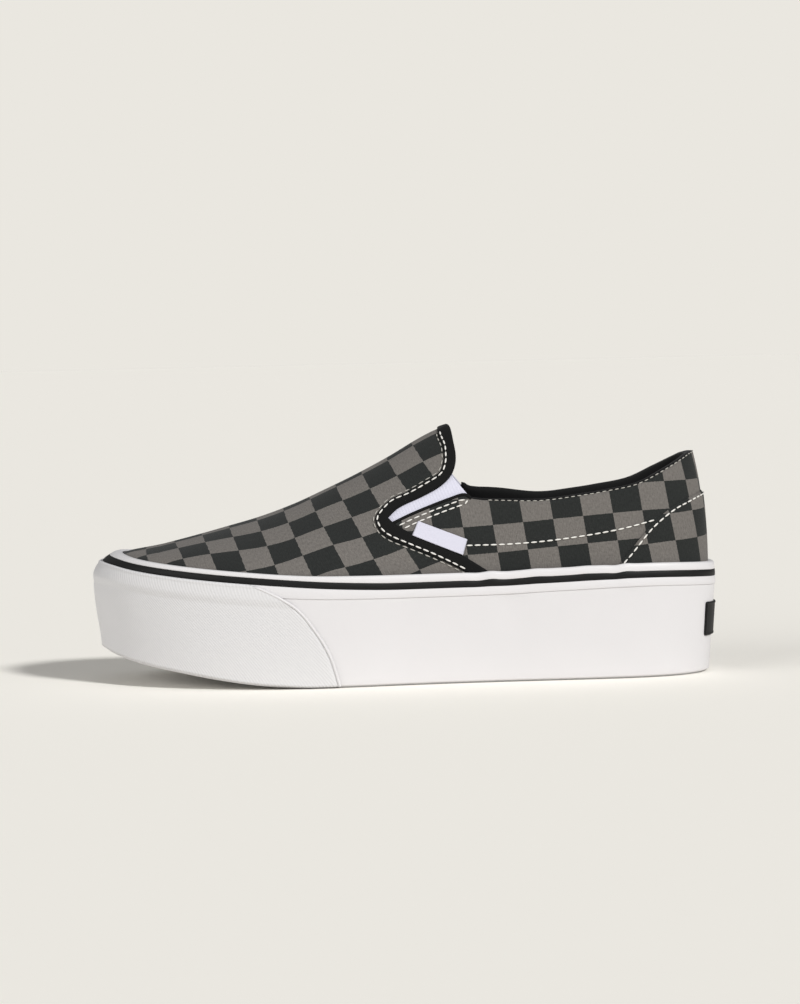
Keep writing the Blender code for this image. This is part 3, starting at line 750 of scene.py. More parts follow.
@dataclass(frozen=True)
class CheckCanvas(Finish):
    """Cotton canvas woven plain and dyed in squares: dull, heathered, with a thread relief."""

    specular: float = 0.15
    low: str = "252726"
    high: str = "6b6763"
    bump: float = 0.5
    relief_mm: float = 0.15
    sheen: float = 0.06
    thread_mm: float = 0.75     # drawn coarser than real so that it shows
    fray_mm: float = 0.7
    fray: float = 0.35
    heather_mm: float = 0.9
    drawn: tuple[float, float, float] = (1.5, 0.6, 1.0)     # heather runs down the cloth
    dye: tuple[float, float] = (0.72, 1.3)

    def build(self) -> bpy.types.Material:
        """Make the canvas material.

        Returns:
            The material.
        """
        material, tree, shader = self.start()
        shader.inputs["Sheen Roughness"].default_value = 0.5
        cloth = add_node(tree, "UVMap").outputs["UV"]
        unit = CLOTH_UNIT / MM
        fuzz = add_node(tree, "TexNoise", {"Vector": cloth, "Scale": unit / self.fray_mm,
                                           "Detail": 1.0})
        centred = add_node(tree, "VectorMath", {0: fuzz.outputs["Color"], 1: (0.5, 0.5, 0.5)},
                           operation="SUBTRACT")
        wobble = add_node(tree, "VectorMath", {0: centred.outputs[0], "Scale": self.fray / unit},
                          operation="SCALE")
        edged = add_node(tree, "VectorMath", {0: cloth, 1: wobble.outputs[0]}, operation="ADD")
        # half a square off in depth keeps the flat cloth clear of the pattern's own border
        squares = SIZE.check / MM
        moved = add_node(tree, "Mapping", {"Vector": edged.outputs[0],
                                           "Location": (0.0, 0.0, 0.5 * squares / unit)})
        checks = add_node(tree, "TexChecker", {"Vector": moved.outputs[0],
                                               "Scale": unit / squares,
                                               "Color1": linear(self.low),
                                               "Color2": linear(self.high)})
        drawn = add_node(tree, "Mapping", {"Vector": cloth, "Scale": self.drawn})
        heather = add_node(tree, "TexNoise", {"Vector": drawn.outputs[0], "Detail": 6.0,
                                              "Scale": unit / self.heather_mm,
                                              "Roughness": 0.7})
        spread = add_node(tree, "MapRange", {"Value": heather.outputs["Fac"], 1: 0.3, 2: 0.7,
                                             3: self.dye[0], 4: self.dye[1]})
        tone = add_node(tree, "VectorMath", {0: checks.outputs["Color"],
                                             "Scale": spread.outputs[0]}, operation="SCALE")
        warp, weft = (add_node(tree, "TexWave", {"Vector": cloth, "Distortion": 0.6,
                                                 "Scale": wave_scale(self.thread_mm)},
                               bands_direction=way).outputs["Fac"] for way in "XY")
        weave = add_node(tree, "Math", {0: warp, 1: weft}, operation="MULTIPLY")
        rough = add_node(tree, "Math", {0: weave.outputs[0], 1: heather.outputs["Fac"]},
                         operation="ADD")
        self.finish(tree, shader, tone.outputs[0], rough.outputs[0])
        return material


@dataclass(frozen=True)
class Textile(Finish):
    """Plain woven or knitted cloth of one colour with a fine thread relief."""

    specular: float = 0.15
    bump: float = 0.4
    relief_mm: float = 0.2
    sheen: float = 0.05
    thread_mm: float = 0.7

    def build(self) -> bpy.types.Material:
        """Make the cloth material.

        Returns:
            The material.
        """
        material, tree, shader = self.start()
        place = add_node(tree, "TexCoord").outputs["Object"]
        threads = add_node(tree, "TexNoise", {"Vector": place, "Detail": 3.0,
                                              "Scale": 1 / (self.thread_mm * MM)}).outputs["Fac"]
        self.finish(tree, shader, threads, threads)
        return material


class Wardrobe:
    """Every finish of the shoe, built once."""

    def __init__(self) -> None:
        """Build the materials."""
        # white rubber cured with the shoe: clean and satin
        self.white_rubber = Rubber("vulcanised_white_rubber", 0.42).build()
        # harder rubber from a mould, a shade darker and duller
        self.outsole_rubber = Rubber("moulded_outsole_rubber", 0.62, low="d6d5d5",
                                     high="cecdcd").build()
        # carbon black rubber: nearly matt
        self.black_rubber = Rubber("vulcanised_black_rubber", 0.55, 0.22, "0f0f0f",
                                   "151515").build()
        # calendered sheet with slanting ridges; its grooves are coloured a shade darker as
        # painted shade
        self.ridged = Ribbed("ridged_bumper_rubber", 0.45, 0.35, "cfcecf", "d5d4d5", 0.8,
                             0.07).build()
        # one canvas, laid three ways by the panels' UV maps
        self.vamp_canvas, self.quarter_canvas, self.counter_canvas = (
            CheckCanvas("check_canvas_" + panel, 0.85).build()
            for panel in ("vamp", "quarter", "counter"))
        # folded tape: black, dry, the darkest cloth
        self.trim = Textile("folded_twill_trim", 0.85, low="0e0e0e", high="141414",
                            sheen=0.02).build()
        # napped lining that swallows light
        self.lining = Textile("brushed_lining_cloth", 0.9, low="121212", high="191919",
                              thread_mm=1.2).build()
        # worn-smooth cloth on the footbed, a little greyer
        self.footbed = Textile("footbed_cloth", 0.9, low="242424", high="2e2e2e",
                               thread_mm=1.0).build()
        # thick off-white sewing thread with a wax shine
        self.thread = Textile("waxed_thread", 0.6, low="e9e7e2", high="dedbd5",
                              thread_mm=0.3).build()
        # thin grey thread, half sunk in the cloth
        self.fine_thread = Textile("fine_grey_thread", 0.7, low="b4b1aa", high="a5a29b",
                                   thread_mm=0.3).build()
        # cool white webbing, ribbed across; its valleys are coloured a shade darker as painted
        # shade
        self.elastic = Ribbed("ribbed_gore_elastic", 0.75, 0.2, "cdccda", "d2d1de", 0.25, 0.2,
                              pitch_mm=1.3, waver=0.3).build()
        # tight satin ribbon
        self.ribbon = Textile("woven_tab_ribbon", 0.7, low="d0cfdb", high="c7c6d3",
                              thread_mm=0.5).build()


# Mesh helpers
Place = Callable[[Array, Array], tuple[Array, Array | None, Array | None]]


def grid_piece(name: str, columns: int, rows: int, place: Place, weld: float = 1e-6,
               closed: bool = False) -> bpy.types.Object:
    """Lay a grid onto a surface.

    Args:
        name: the piece's name.
        columns: cells along u.
        rows: cells along v.
        place: gives points, outward directions and cloth coordinates for u and v.
        weld: distance under which vertices are merged.
        closed: whether the welded mesh is a closed body.

    Returns:
        The object.
    """
    bm = bmesh.new()
    bmesh.ops.create_grid(bm, x_segments=columns, y_segments=rows, size=0.5)
    bm.verts.ensure_lookup_table()
    flat = np.array([v.co[:2] for v in bm.verts]) + 0.5
    points, outward, cloth = place(flat[:, 0], flat[:, 1])
    if cloth is not None:
        layer = bm.loops.layers.uv.new("UVMap")
        units = np.asarray(cloth) / CLOTH_UNIT
        for face in bm.faces:
            for loop in face.loops:
                loop[layer].uv = units[loop.vert.index]
    for vert, point in zip(bm.verts, points):
        vert.co = point
    bm.normal_update()
    if outward is not None:
        facing = sum(v.normal.dot(Vector(o)) for v, o in zip(bm.verts, outward))
        if facing < 0:
            bmesh.ops.reverse_faces(bm, faces=bm.faces)
    bmesh.ops.remove_doubles(bm, verts=bm.verts, dist=weld)
    bmesh.ops.dissolve_degenerate(bm, dist=1e-7, edges=bm.edges)
    if closed:
        bmesh.ops.recalc_face_normals(bm, faces=bm.faces)
    return to_object(name, bm)


def to_object(name: str, bm: bmesh.types.BMesh) -> bpy.types.Object:
    """Make an object of a mesh, shaded smooth, and free the mesh.

    Args:
        name: the piece's name.
        bm: its mesh.

    Returns:
        The object.
    """
    mesh = bpy.data.meshes.new(name)
    bm.to_mesh(mesh)
    bm.free()
    mesh.shade_smooth()
    piece = bpy.data.objects.new(name, mesh)
    bpy.context.scene.collection.objects.link(piece)
    return piece


def dress(piece: bpy.types.Object, material: bpy.types.Material, nodes: Iterable[str] = (),
          wall: float = 0.0,
          inner: bpy.types.Material | None = None) -> None:
    """Give a piece its thickness, its finish and its place in the frame.

    Args:
        piece: the object.
        material: its finish.
        nodes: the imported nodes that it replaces.
        wall: thickness to add inward, in metres.
        inner: a finish for the inside of the wall.
    """
    piece.data.materials.append(material)
    if wall:
        shell = piece.modifiers.new("thickness", "SOLIDIFY")
        shell.thickness = wall
        shell.offset = -1
        shell.use_even_offset = False
        if inner is not None:
            piece.data.materials.append(inner)
            shell.material_offset = 1
    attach(piece, "root")
    if nodes:
        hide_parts(*nodes)
    log.info("%s: %d faces", piece.name, len(piece.data.polygons))


def seal(piece: bpy.types.Object) -> None:
    """Close the open rings of a piece and turn its faces outward.

    Args:
        piece: the object.
    """
    bm = bmesh.new()
    bm.from_mesh(piece.data)
    bmesh.ops.holes_fill(bm, edges=[e for e in bm.edges if e.is_boundary], sides=0)
    bmesh.ops.triangulate(bm, faces=[f for f in bm.faces if len(f.verts) > 4])
    bmesh.ops.recalc_face_normals(bm, faces=bm.faces)
    bm.to_mesh(piece.data)
    bm.free()


@dataclass
class PlatformSole:
    """Outsole, platform, tape, stripe, bumper and heel plate."""

    last: Last
    looks: Wardrobe
    around: int = 440
    ripple_mm: float = 0.35
    ridge_slope: float = 1.0    # the bumper's ridges run down and back at 45 degrees
    side_run: float = 0.040     # height of the side that they cross
    grid: Array = field(init=False)
    run: Array = field(init=False)

    def __post_init__(self) -> None:
        """Measure the way round the outline."""
        self.grid = np.linspace(0, self.last.count, 4001)
        self.run = run_along(self.last.outline(self.grid)[0])

    def loop_q(self, u: Array) -> Array:
        """Outline place at a share of the way round, by even arc length."""
        return np.interp(np.asarray(u) % 1.0, self.run / self.run[-1], self.grid)

    def wall_inset(self, share: Array | float) -> Array:
        """Inset of the platform's side at a share of its height."""
        return SIZE.ledge + SIZE.side_flare * (1 - np.asarray(share, float))

    def ripple(self, q: Array, z_share: Array) -> Array:
        """Outward ripple of the tape where seams pass under it.

        Args:
            q: outline places.
            z_share: share of the tape's height.

        Returns:
            Outward distances.
        """
        point, _, _ = self.last.outline(q)
        x = point[..., 0] / MM
        outer = (point[..., 1] < 0).astype(float)
        wave = humps(x, TAPE_RIPPLES)
        slow = 0.18 * np.sin(x / 9.0 + 1.3) + 0.12 * np.sin(x / 4.1 + 0.4)
        rear = smoothstep(10, 40, x)
        return (wave * (0.55 + 0.45 * outer) + slow * rear) * self.ripple_mm * MM \
            * smoothstep(0.0, 0.5, z_share)

    def waver(self, x: Array, share: Array) -> Array:
        """Rise and fall of the tape's upper half, in metres."""
        return humps(x / MM, TAPE_LIFTS) * MM * smoothstep(0.2, 0.7, share)

    def build(self) -> None:
        """Build and dress every piece of the sole."""
        self.outsole()
        self.midsole()
        self.tape()
        self.stripe()
        self.bumper()
        self.heel_plate()

    def midsole(self) -> None:
        """White platform between outsole and tape."""
        low = SIZE.lip
        profile = [("foot", self.wall_inset(0.0) + 0.0040, low + 0.0012),
                   ("foot", self.wall_inset(0.0) + 0.0014, low + 0.0010),
                   ("foot", self.wall_inset(0.0) + 0.0005, low),
                   ("foot", self.wall_inset(0.0) + 0.0001, low + 0.0003),
                   ("foot", self.wall_inset(0.0), low + 0.0008)]
        for share in np.linspace(0.06, 0.99, 18):
            profile.append(("mix", float(self.wall_inset(share)), float(share)))
        profile += [("tape", self.wall_inset(1.0), 0.0001),
                    ("tape", self.wall_inset(1.0) + 0.0020, 0.0001)]
        last = self.last
        rows = len(profile) - 1

        def place(u: Array, v: Array) -> tuple[Array, Array, None]:
            """Place the grid.

            Args:
                u: shares along the grid's columns.
                v: shares along its rows.

            Returns:
                The points, with outward directions and cloth coordinates where needed.
            """
            q = self.loop_q(u)
            row = np.rint(v * rows).astype(int)
            points = np.zeros((len(u), 3))
            outs = np.zeros((len(u), 3))
            for index in range(rows + 1):
                here = row == index
                kind, inset, lift = profile[index]
                point, out, _ = last.outline(q[here])
                x = (point - out * inset)[:, 0]
                foot = last.underside(x) + SIZE.outsole_rim
                if kind == "mix":
                    z = foot + (last.tape_foot(x) - foot) * lift
                    bulge = self.dents(point, lift)
                else:
                    z = (last.underside(x) if kind == "foot" else last.tape_foot(x)) + lift
                    bulge = 0.0
                share = (z - last.tape_foot(x)) / SIZE.tape_h
                inward = inset + last.lean(last.s_of(x), np.minimum(share, 0)) - bulge
                points[here, :2] = point - out * inward[:, None]
                points[here, 2] = z
                outs[here, :2] = out
            return points, outs, None

        piece = grid_piece("platform", self.around, rows, place)
        seal(piece)
        dress(piece, self.looks.white_rubber, ["midsole"])

    def dents(self, point: Array, share: float) -> Array:
        """Broad faint dents of the side wall under the seams.

        Args:
            point: outline points.
            share: share of the height.

        Returns:
            Outward distances.
        """
        x = point[:, 0] / MM
        outer = point[:, 1] < 0
        fade = math.exp(-((share - 0.78) / 0.22)**2)
        return humps(x, SIDE_DENTS) * fade * MM * np.where(outer, 1.0, 0.5)

    def tape_profile(self, q: Array, height: Array, depth: Array) -> tuple[Array, Array]:
        """Points of the tape.

        Args:
            q: outline places.
            height: share of the tape's height.
            depth: distance behind its face.

        Returns:
            The points and the outward directions.
        """
        point, out, s = self.last.outline(q)
        height = height + self.last.stripe_shift(point[..., 0], height)
        inset = self.last.lean(s, np.clip(height, 0, 1)) + depth \
            - self.ripple(q, height) * np.where(depth < 0.002, 1.0, 0.0)
        flat = point - out * inset[..., None]
        z = self.last.tape_foot(flat[..., 0]) + SIZE.tape_h * height \
            + self.waver(flat[..., 0], height)
        return raised(flat, z, out)

    def ring_of(self, name: str, profile: Sequence[tuple[float, float]]) -> bpy.types.Object:
        """Ring of a closed cross-section on the tape.

        Args:
            name: the piece's name.
            profile: rows of height share and depth in mm.

        Returns:
            The object.
        """
        table = np.array(list(profile) + [profile[0]])
        rows = len(table) - 1

        def place(u: Array, v: Array) -> tuple[Array, None, None]:
            """Place the grid.

            Args:
                u: shares along the grid's columns.
                v: shares along its rows.

            Returns:
                The points, with outward directions and cloth coordinates where needed.
            """
            row = np.rint(v * rows).astype(int)
            points, _ = self.tape_profile(self.loop_q(u), table[row, 0], table[row, 1] * MM)
            return points, None, None

        return grid_piece(name, self.around, rows, place, closed=True)

    def tape(self) -> None:
        """White tape with the groove of the stripe and a rounded top edge."""
        low = SIZE.stripe_low / SIZE.tape_h
        high = (SIZE.stripe_low + SIZE.stripe_h) / SIZE.tape_h
        depth = SIZE.tape_t / MM
        profile = [(0.0, 0.3), (0.012, 0.09), (0.04, 0.0), (0.2, 0.0), (low - 0.03, 0.0),
                   (low - 0.008, 0.06), (low, 0.35), (high, 0.35), (high + 0.008, 0.06),
                   (high + 0.03, 0.0), (0.8, 0.0), (0.9, 0.04), (0.96, 0.25), (0.99, 0.6),
                   (1.0, 1.1), (1.0, 1.9), (0.985, depth - 0.2), (0.9, depth + 0.1),
                   (0.5, depth + 0.1), (0.0, depth)]
        piece = self.ring_of("foxing_band", profile)
        dress(piece, self.looks.white_rubber, ["foxing_tape"])

    def stripe(self) -> None:
        """Black stripe in the tape's groove."""
        low = SIZE.stripe_low / SIZE.tape_h
        high = (SIZE.stripe_low + SIZE.stripe_h) / SIZE.tape_h
        profile = [(low + 0.004, 0.3), (low + 0.004, 0.1), (low + 0.02, 0.0),
                   ((low + high) / 2, -0.05), (high - 0.02, 0.0), (high - 0.004, 0.1),
                   (high - 0.004, 0.3), (high, 0.6), (low, 0.6)]
        piece = self.ring_of("stripe_band", profile)
        dress(piece, self.looks.black_rubber, ["foxing_stripe"])

    def outsole(self) -> None:
        """Rubber bottom with a shallow tread of diamonds, on the floor."""
        last = self.last
        columns, rows = 270, 100
        edge = 5                        # rows that turn up at each side
        heel_x, toe_x = last.ends()
        cell, shape = 0.0085, 1.15      # size and stretch of a diamond

        def place(u: Array, v: Array) -> tuple[Array, Array, None]:
            """Place the grid.

            Args:
                u: shares along the grid's columns.
                v: shares along its rows.

            Returns:
                The points, with outward directions and cloth coordinates where needed.
            """
            x = heel_x + (toe_x - heel_x) * (1 - np.cos(np.pi * u)) / 2
            row = np.rint(v * rows).astype(int)
            near = np.minimum(row, rows - row)
            rim = np.clip(near / edge, 0, 1)
            inset = self.wall_inset(0.0) + 0.0014 + SIZE.edge_round * smoothstep(0.4, 1.0, rim)
            lift = SIZE.outsole_rim * (1 - smoothstep(0.0, 0.8, rim))
            a, b = (point - out * inset[:, None] for point, out, _ in
                    (last.outline(last.crossing(side, x)) for side in Side))
            part = np.clip((row - edge) / (rows - 2 * edge), 0, 1)[:, None]
            flat = a * (1 - part) + b * part
            border = np.minimum(part[:, 0], 1 - part[:, 0]) * np.linalg.norm(b - a, axis=1)
            inner = smoothstep(0.003, 0.0045, border) \
                * smoothstep(0.002, 0.006, np.minimum(heel_x - flat[:, 0], flat[:, 0] - toe_x))
            d1 = np.abs(((flat[:, 0] + flat[:, 1] * shape) / cell) % 1.0 - 0.5)
            d2 = np.abs(((flat[:, 0] - flat[:, 1] * shape) / cell) % 1.0 - 0.5)
            groove = smoothstep(0.34, 0.46, np.maximum(d1, d2))
            z = last.underside(flat[:, 0]) + lift + 0.0011 * groove * inner
            return np.column_stack([flat, z]), np.tile([0.0, 0.0, -1.0], (len(u), 1)), None

        piece = grid_piece("tread_sole", columns, rows, place)
        dress(piece, self.looks.outsole_rubber, ["outsole"])

    def side_point(self, q: Array, share: Array, depth: Array) -> tuple[Array, Array]:
        """Points on the sole's side, share 0 at the floor and 1 under the stripe.

        Args:
            q: outline places.
            share: share of the height.
            depth: distance outward.

        Returns:
            The points and the outward directions.
        """
        last = self.last
        point, out, s = last.outline(q)
        x = point[..., 0]
        bottom = last.underside(x) + SIZE.lip
        low = SIZE.stripe_low / SIZE.tape_h
        top = last.tape_foot(x) + SIZE.tape_h * (low + last.stripe_shift(x, low)) - 0.0001
        z = bottom + (top - bottom) * share
        wall_top = last.tape_foot(x)
        wall_bottom = last.underside(x) + SIZE.outsole_rim
        up_wall = np.clip((z - wall_bottom) / (wall_top - wall_bottom), 0, 1)
        over = np.clip((z - wall_top + 0.004) / 0.003, 0, 1)
        inset = self.wall_inset(up_wall) * (1 - over) \
            + last.lean(s, np.minimum((z - wall_top) / SIZE.tape_h, 1))
        flat = point - out * (inset - depth)[..., None]
        return raised(flat, z, out)

    def bumper_q(self, u: Array, share: Array) -> Array:
        """Outline place of the bumper at a share of the way round the toe.

        Args:
            u: share of the way from the outer end to the inner one.
            share: share of the height.

        Returns:
            The outline places.
        """
        last = self.last
        (first, end), (first0, end0) = (
            [last.crossing(side, last.x_of(s)) for side in Side]
            for s in (curve(BUMPER_EDGE, share), BUMPER_EDGE[0][1]))
        outer_pull = np.clip(1 - u / 0.3, 0, 1)**2
        inner_pull = np.clip(1 - (1 - u) / 0.3, 0, 1)**2
        return (first0 + (end0 - first0) * u + (first - first0) * outer_pull
                + (end - end0) * inner_pull)

    def bumper(self) -> None:
        """Ridged sheet round the toe, with a raised rib along its edges."""
        last = self.last
        thick = SIZE.gap + SIZE.bumper_t

        def place(u: Array, v: Array) -> tuple[Array, Array, Array]:
            """Place the grid.

            Args:
                u: shares along the grid's columns.
                v: shares along its rows.

            Returns:
                The points, with outward directions and cloth coordinates where needed.
            """
            share = v**0.9
            q = self.bumper_q(u, share)
            rim = smoothstep(0.0, 0.012, np.minimum(u, 1 - u))
            depth = thick * 0.62 * (0.25 + 0.75 * rim)      # thins out at its ends
            lip = np.exp(-((v - 0.985) / 0.012)**2) * 0.0003
            points, outs = self.side_point(q, share, depth + lip)
            arc = self.arc_at(q)
            height = points[:, 2] - last.underside(points[:, 0])
            crown = np.maximum(v - 0.7, 0)**2 / 0.6
            run = arc - (v - crown) * self.side_run * self.ridge_slope
            return points, outs, np.stack([run, height], -1)

        piece = grid_piece("toe_bumper_sheet", 300, 60, place)
        dress(piece, self.looks.ridged, ["toe_bumper"], 0.0004)
        ribs = bmesh.new()
        for flip in (0.0, 1.0):
            shares = np.linspace(0.0, 0.985, 70)
            q = self.bumper_q(np.full(shares.shape, flip), shares)
            points, _ = self.side_point(q, shares, np.full(shares.shape, 0.0004))
            sweep_round(ribs, points, 0.00062)
        rib = to_object("bumper_rib", ribs)
        dress(rib, self.looks.white_rubber, ())

    def arc_at(self, q: Array) -> Array:
        """Arc length of the outline from its first knot."""
        return np.interp(np.asarray(q) % self.last.count, self.grid, self.run)

    def heel_plate(self) -> None:
        """Plain black plate on the back, with rounded corners and a thin raised border."""
        last = self.last
        middle = self.arc_at(last.heel_q)

        def place(u: Array, v: Array) -> tuple[Array, Array, None]:
            """Place the grid.

            Args:
                u: shares along the grid's columns.
                v: shares along its rows.

            Returns:
                The points, with outward directions and cloth coordinates where needed.
            """
            a, b = 2 * u - 1, 2 * v - 1
            half_w, half_h = SIZE.patch_half, SIZE.patch_h / 2
            x = a * half_w
            z = b * half_h
            corner = 0.08 * SIZE.patch_h
            over_x = np.maximum(np.abs(x) - (half_w - corner), 0)
            over_z = np.maximum(np.abs(z) - (half_h - corner), 0)
            both = (over_x > 0) & (over_z > 0)
            far = np.hypot(over_x, over_z)
            big = np.maximum(over_x, over_z)
            scale = np.where(both, big / np.maximum(far, 1e-9), 1.0)
            x = np.where(both, np.sign(x) * (half_w - corner + over_x * scale), x)
            z = np.where(both, np.sign(z) * (half_h - corner + over_z * scale), z)
            edge = np.minimum(1 - np.abs(a), (1 - np.abs(b)) * half_h / half_w) * half_w
            lift = 0.0010 * smoothstep(-0.0001, 0.0004, edge)
            lift -= 0.0002 * smoothstep(0.0009, 0.0012, edge)
            q = np.interp((middle + x) % self.run[-1], self.run, self.grid)
            height = SIZE.patch_low + half_h + z
            side_h = last.tape_foot(last.x_of(0.0)) + SIZE.stripe_low - 0.0001
            points, outs = self.side_point(q, height / side_h, lift)
            return points, outs, None

        piece = grid_piece("heel_plate", 96, 48, place)
        dress(piece, self.looks.black_rubber, ["heel_patch"], 0.0006)


def sweep_round(bm: bmesh.types.BMesh, points: Array, radius: float, sides: int = 8) -> None:
    """Add a round bead along a line, with closed ends.

    Args:
        bm: the mesh to add to.
        points: the bead's middle line.
        radius: its radius.
        sides: faces round it.
    """
    line = [Vector(p) for p in points]
    rings = []
    for i, here in enumerate(line):
        run = (line[min(i + 1, len(line) - 1)] - line[max(i - 1, 0)]).normalized()
        turn = run.to_track_quat("Z", "Y").to_matrix().to_4x4()
        made = bmesh.ops.create_circle(bm, segments=sides, radius=radius,
                                       matrix=Matrix.Translation(here) @ turn,
                                       cap_ends=i in (0, len(line) - 1))
        rings.append(made["verts"])
    for low, high in zip(rings, rings[1:]):
        edges = [e for ring in (low, high) for v in ring for e in v.link_edges
                 if e.other_vert(v) in ring]
        bmesh.ops.bridge_loops(bm, edges=list(set(edges)))
    bmesh.ops.recalc_face_normals(bm, faces=bm.faces)


@dataclass(frozen=True)
class ClothLay:
    """How checked cloth lies on a side panel: slants, and where its squares begin."""

    lean: float
    rise: float
    start: float
    row: float


@dataclass
class CanvasUpper:
    """Vamp, quarters and heel counter."""

    last: Last
    looks: Wardrobe
    quarter_lay: ClothLay = ClothLay(0.15, 0.047, 1.253, 1.061)
    counter_lay: ClothLay = ClothLay(0.20, 0.108, 1.24, 1.05)
    cloth_mm: float = 1.6       # canvas with its backing
    crest_line: Array = field(init=False)
    crest_run: Array = field(init=False)

    def __post_init__(self) -> None:
        """Work out the crest line, which the vamp's checks follow."""
        last = self.last
        tip = last.section(np.full(40, last.toe_q), np.linspace(0, 1, 40))
        xs = np.linspace(float(last.x_of(SIZE.toe_axis)), float(last.x_of(0.42)), 400)
        self.crest_line = np.vstack([tip[:-1], last.axis(xs)[0]])
        self.crest_run = run_along(self.crest_line)

    def vamp_cloth(self, q: Array, t: Array, points: Array, side: Array) -> Array:
        """Cloth coordinates of the vamp, whose cloth is pulled tighter over the toe.

        Args:
            q: outline places.
            t: shares up the section.
            points: the points themselves.
            side: 1 on the outer side, -1 on the inner one.

        Returns:
            Run along the crest and arc down from it, in metres.
        """
        last = self.last
        run, near = np.zeros(len(points)), np.zeros(len(points))
        for start in range(0, len(points), 2000):
            part = points[start:start + 2000]
            gap = np.linalg.norm(part[:, None] - self.crest_line[None], axis=2)
            run[start:start + 2000] = self.crest_run[np.argmin(gap, axis=1)]
            near[start:start + 2000] = gap.min(axis=1)
        line = last.section(q[:, None], t[:, None] + (1 - t[:, None]) * np.linspace(0, 1, 17))
        arc = np.linalg.norm(np.diff(line, axis=1), axis=2).sum(axis=1)
        s = last.s_of(points[:, 0])
        tip = smoothstep(0.86, 0.90, s)         # front of the toe
        arc = arc * (1 - tip) + near * tip
        toe = smoothstep(0.60, 0.74, s)         # ahead of the ball
        # the rows drop back down the side, most over the toe, and bulge along the crest
        skew = 0.042 + 0.020 * smoothstep(0.52, 0.62, s) + 0.146 * smoothstep(0.62, 0.86, s)
        stretch = 0.960 + 0.095 * toe
        pull = 0.0032 * np.exp(-(arc / 0.010)**2)
        slip = skew * arc + 0.03 * np.maximum(arc - 0.020, 0)
        arc = arc - 0.0007 * smoothstep(0.016, 0.034, arc)
        return np.stack([(run - slip) * 1.008 + 0.17 * SIZE.check,
                         (side * arc + pull - 0.0086 - 0.0019 * toe) / stretch], -1)

    def side_cloth(self, q: Array, points: Array, side: Side, lay: "ClothLay") -> Array:
        """Cloth coordinates of a quarter or of the counter.

        Args:
            q: outline places.
            points: the points themselves.
            side: outer or inner.
            lay: how the cloth lies.

        Returns:
            Run from the heel and height, in metres.
        """
        last = self.last
        grid = last.branch[side]
        line = last.feather(grid)[:, :2]
        run = run_along(line)
        order = np.argsort(grid)
        a = np.interp(q, grid[order], run[order])
        b = points[:, 2] - last.tape_top(points[:, 0])
        return np.stack([lay.start * SIZE.check - (a - lay.lean * b) * 0.985,
                         lay.row * SIZE.check - b * 1.081 - a * lay.rise], -1)

    def creases(self, q: Array, t: Array) -> Array:
        """Soft troughs of the canvas, as outward distances.

        Args:
            q: outline places.
            t: shares up the section.

        Returns:
            Distances, below zero in a trough.
        """
        here = self.last.section(q, t) / MM
        depth = np.zeros(np.shape(t))
        for x0, z0, tilt, length, width, deep in CANVAS_TROUGHS:
            a = math.radians(tilt)
            along_it = (here[..., 0] - x0) * math.cos(a) + (here[..., 2] - z0) * math.sin(a)
            across = (here[..., 2] - z0) * math.cos(a) - (here[..., 0] - x0) * math.sin(a)
            across = across + 0.02 * along_it**2 / length
            depth -= deep * np.exp(-(along_it / length)**2 - (across / width)**2)
        return depth * MM

    def build(self) -> None:
        """Build and dress every panel."""
        self.vamp()
        for side in Side:
            self.quarter(side)
        self.counter()

    def vamp(self) -> None:
        """Front panel over the toe and instep, up to the trim."""
        last = self.last
        front = last.flat(TRIM_FRONT)
        reach = {}
        for side in Side:
            line = along(front, np.linspace(0, 1, 160))
            _, t = last.locate(side, line[:, 0], line[:, 1])
            order = np.argsort(t)
            reach[side] = (t[order], line[order, 0])
        tip_x = last.feather(np.array([last.toe_q]))[0, 0]

        def place(u: Array, v: Array) -> tuple[Array, Array, Array]:
            """Place the grid.

            Args:
                u: shares along the grid's columns.
                v: shares along its rows.

            Returns:
                The points, with outward directions and cloth coordinates where needed.
            """
            outer = v <= 0.5
            w = np.where(outer, 2 * v, 2 - 2 * v)
            t = -0.55 + 1.55 * w
            q = np.zeros(len(u))
            for side in Side:
                here = outer if side is Side.OUTER else ~outer
                edge_t, edge_x = reach[side]
                end = np.interp(np.clip(t[here], 0.0, 1.0), edge_t, edge_x) + 0.0022
                x = tip_x + (end - tip_x) * np.power(u[here], 1.7)
                q[here] = last.q_at(side, x)
            points, outs = last.at(q, t, self.creases(q, t))
            return points, outs, self.vamp_cloth(q, t, points, np.where(outer, 1.0, -1.0))

        piece = grid_piece("vamp_panel", 190, 150, place)
        dress(piece, self.looks.vamp_canvas, ["upper"],
              self.cloth_mm * MM, self.looks.lining)

    def top_edge(self) -> Callable[[Array], Array]:
        """Top edge of the quarters as Z over X.

        Returns:
            The height as a function of X.
        """
        last = self.last
        return height_over(np.vstack([
            along(last.flat(QUARTER_EDGE), np.linspace(0, 1, 60)),
            along(last.flat(COLLAR_EDGE), np.linspace(0, 1, 120))]))

    def low_edge(self, drop: float) -> Callable[[Array], Array]:
        """Front lower edge of the quarters under the trim, as Z over X."""
        line = along(self.last.flat(TRIM_REAR), np.linspace(0, 1, 80))
        return height_over(line - [0, drop])

    def quarter(self, side: Side) -> None:
        """Side panel from the throat to the middle of the heel.

        Args:
            side: outer or inner.
        """
        last = self.last
        top, low = self.top_edge(), self.low_edge(0.0028)
        start_q = last.q_at(side, float(last.x_of(0.512)))
        heel_q = last.branch[side][0]

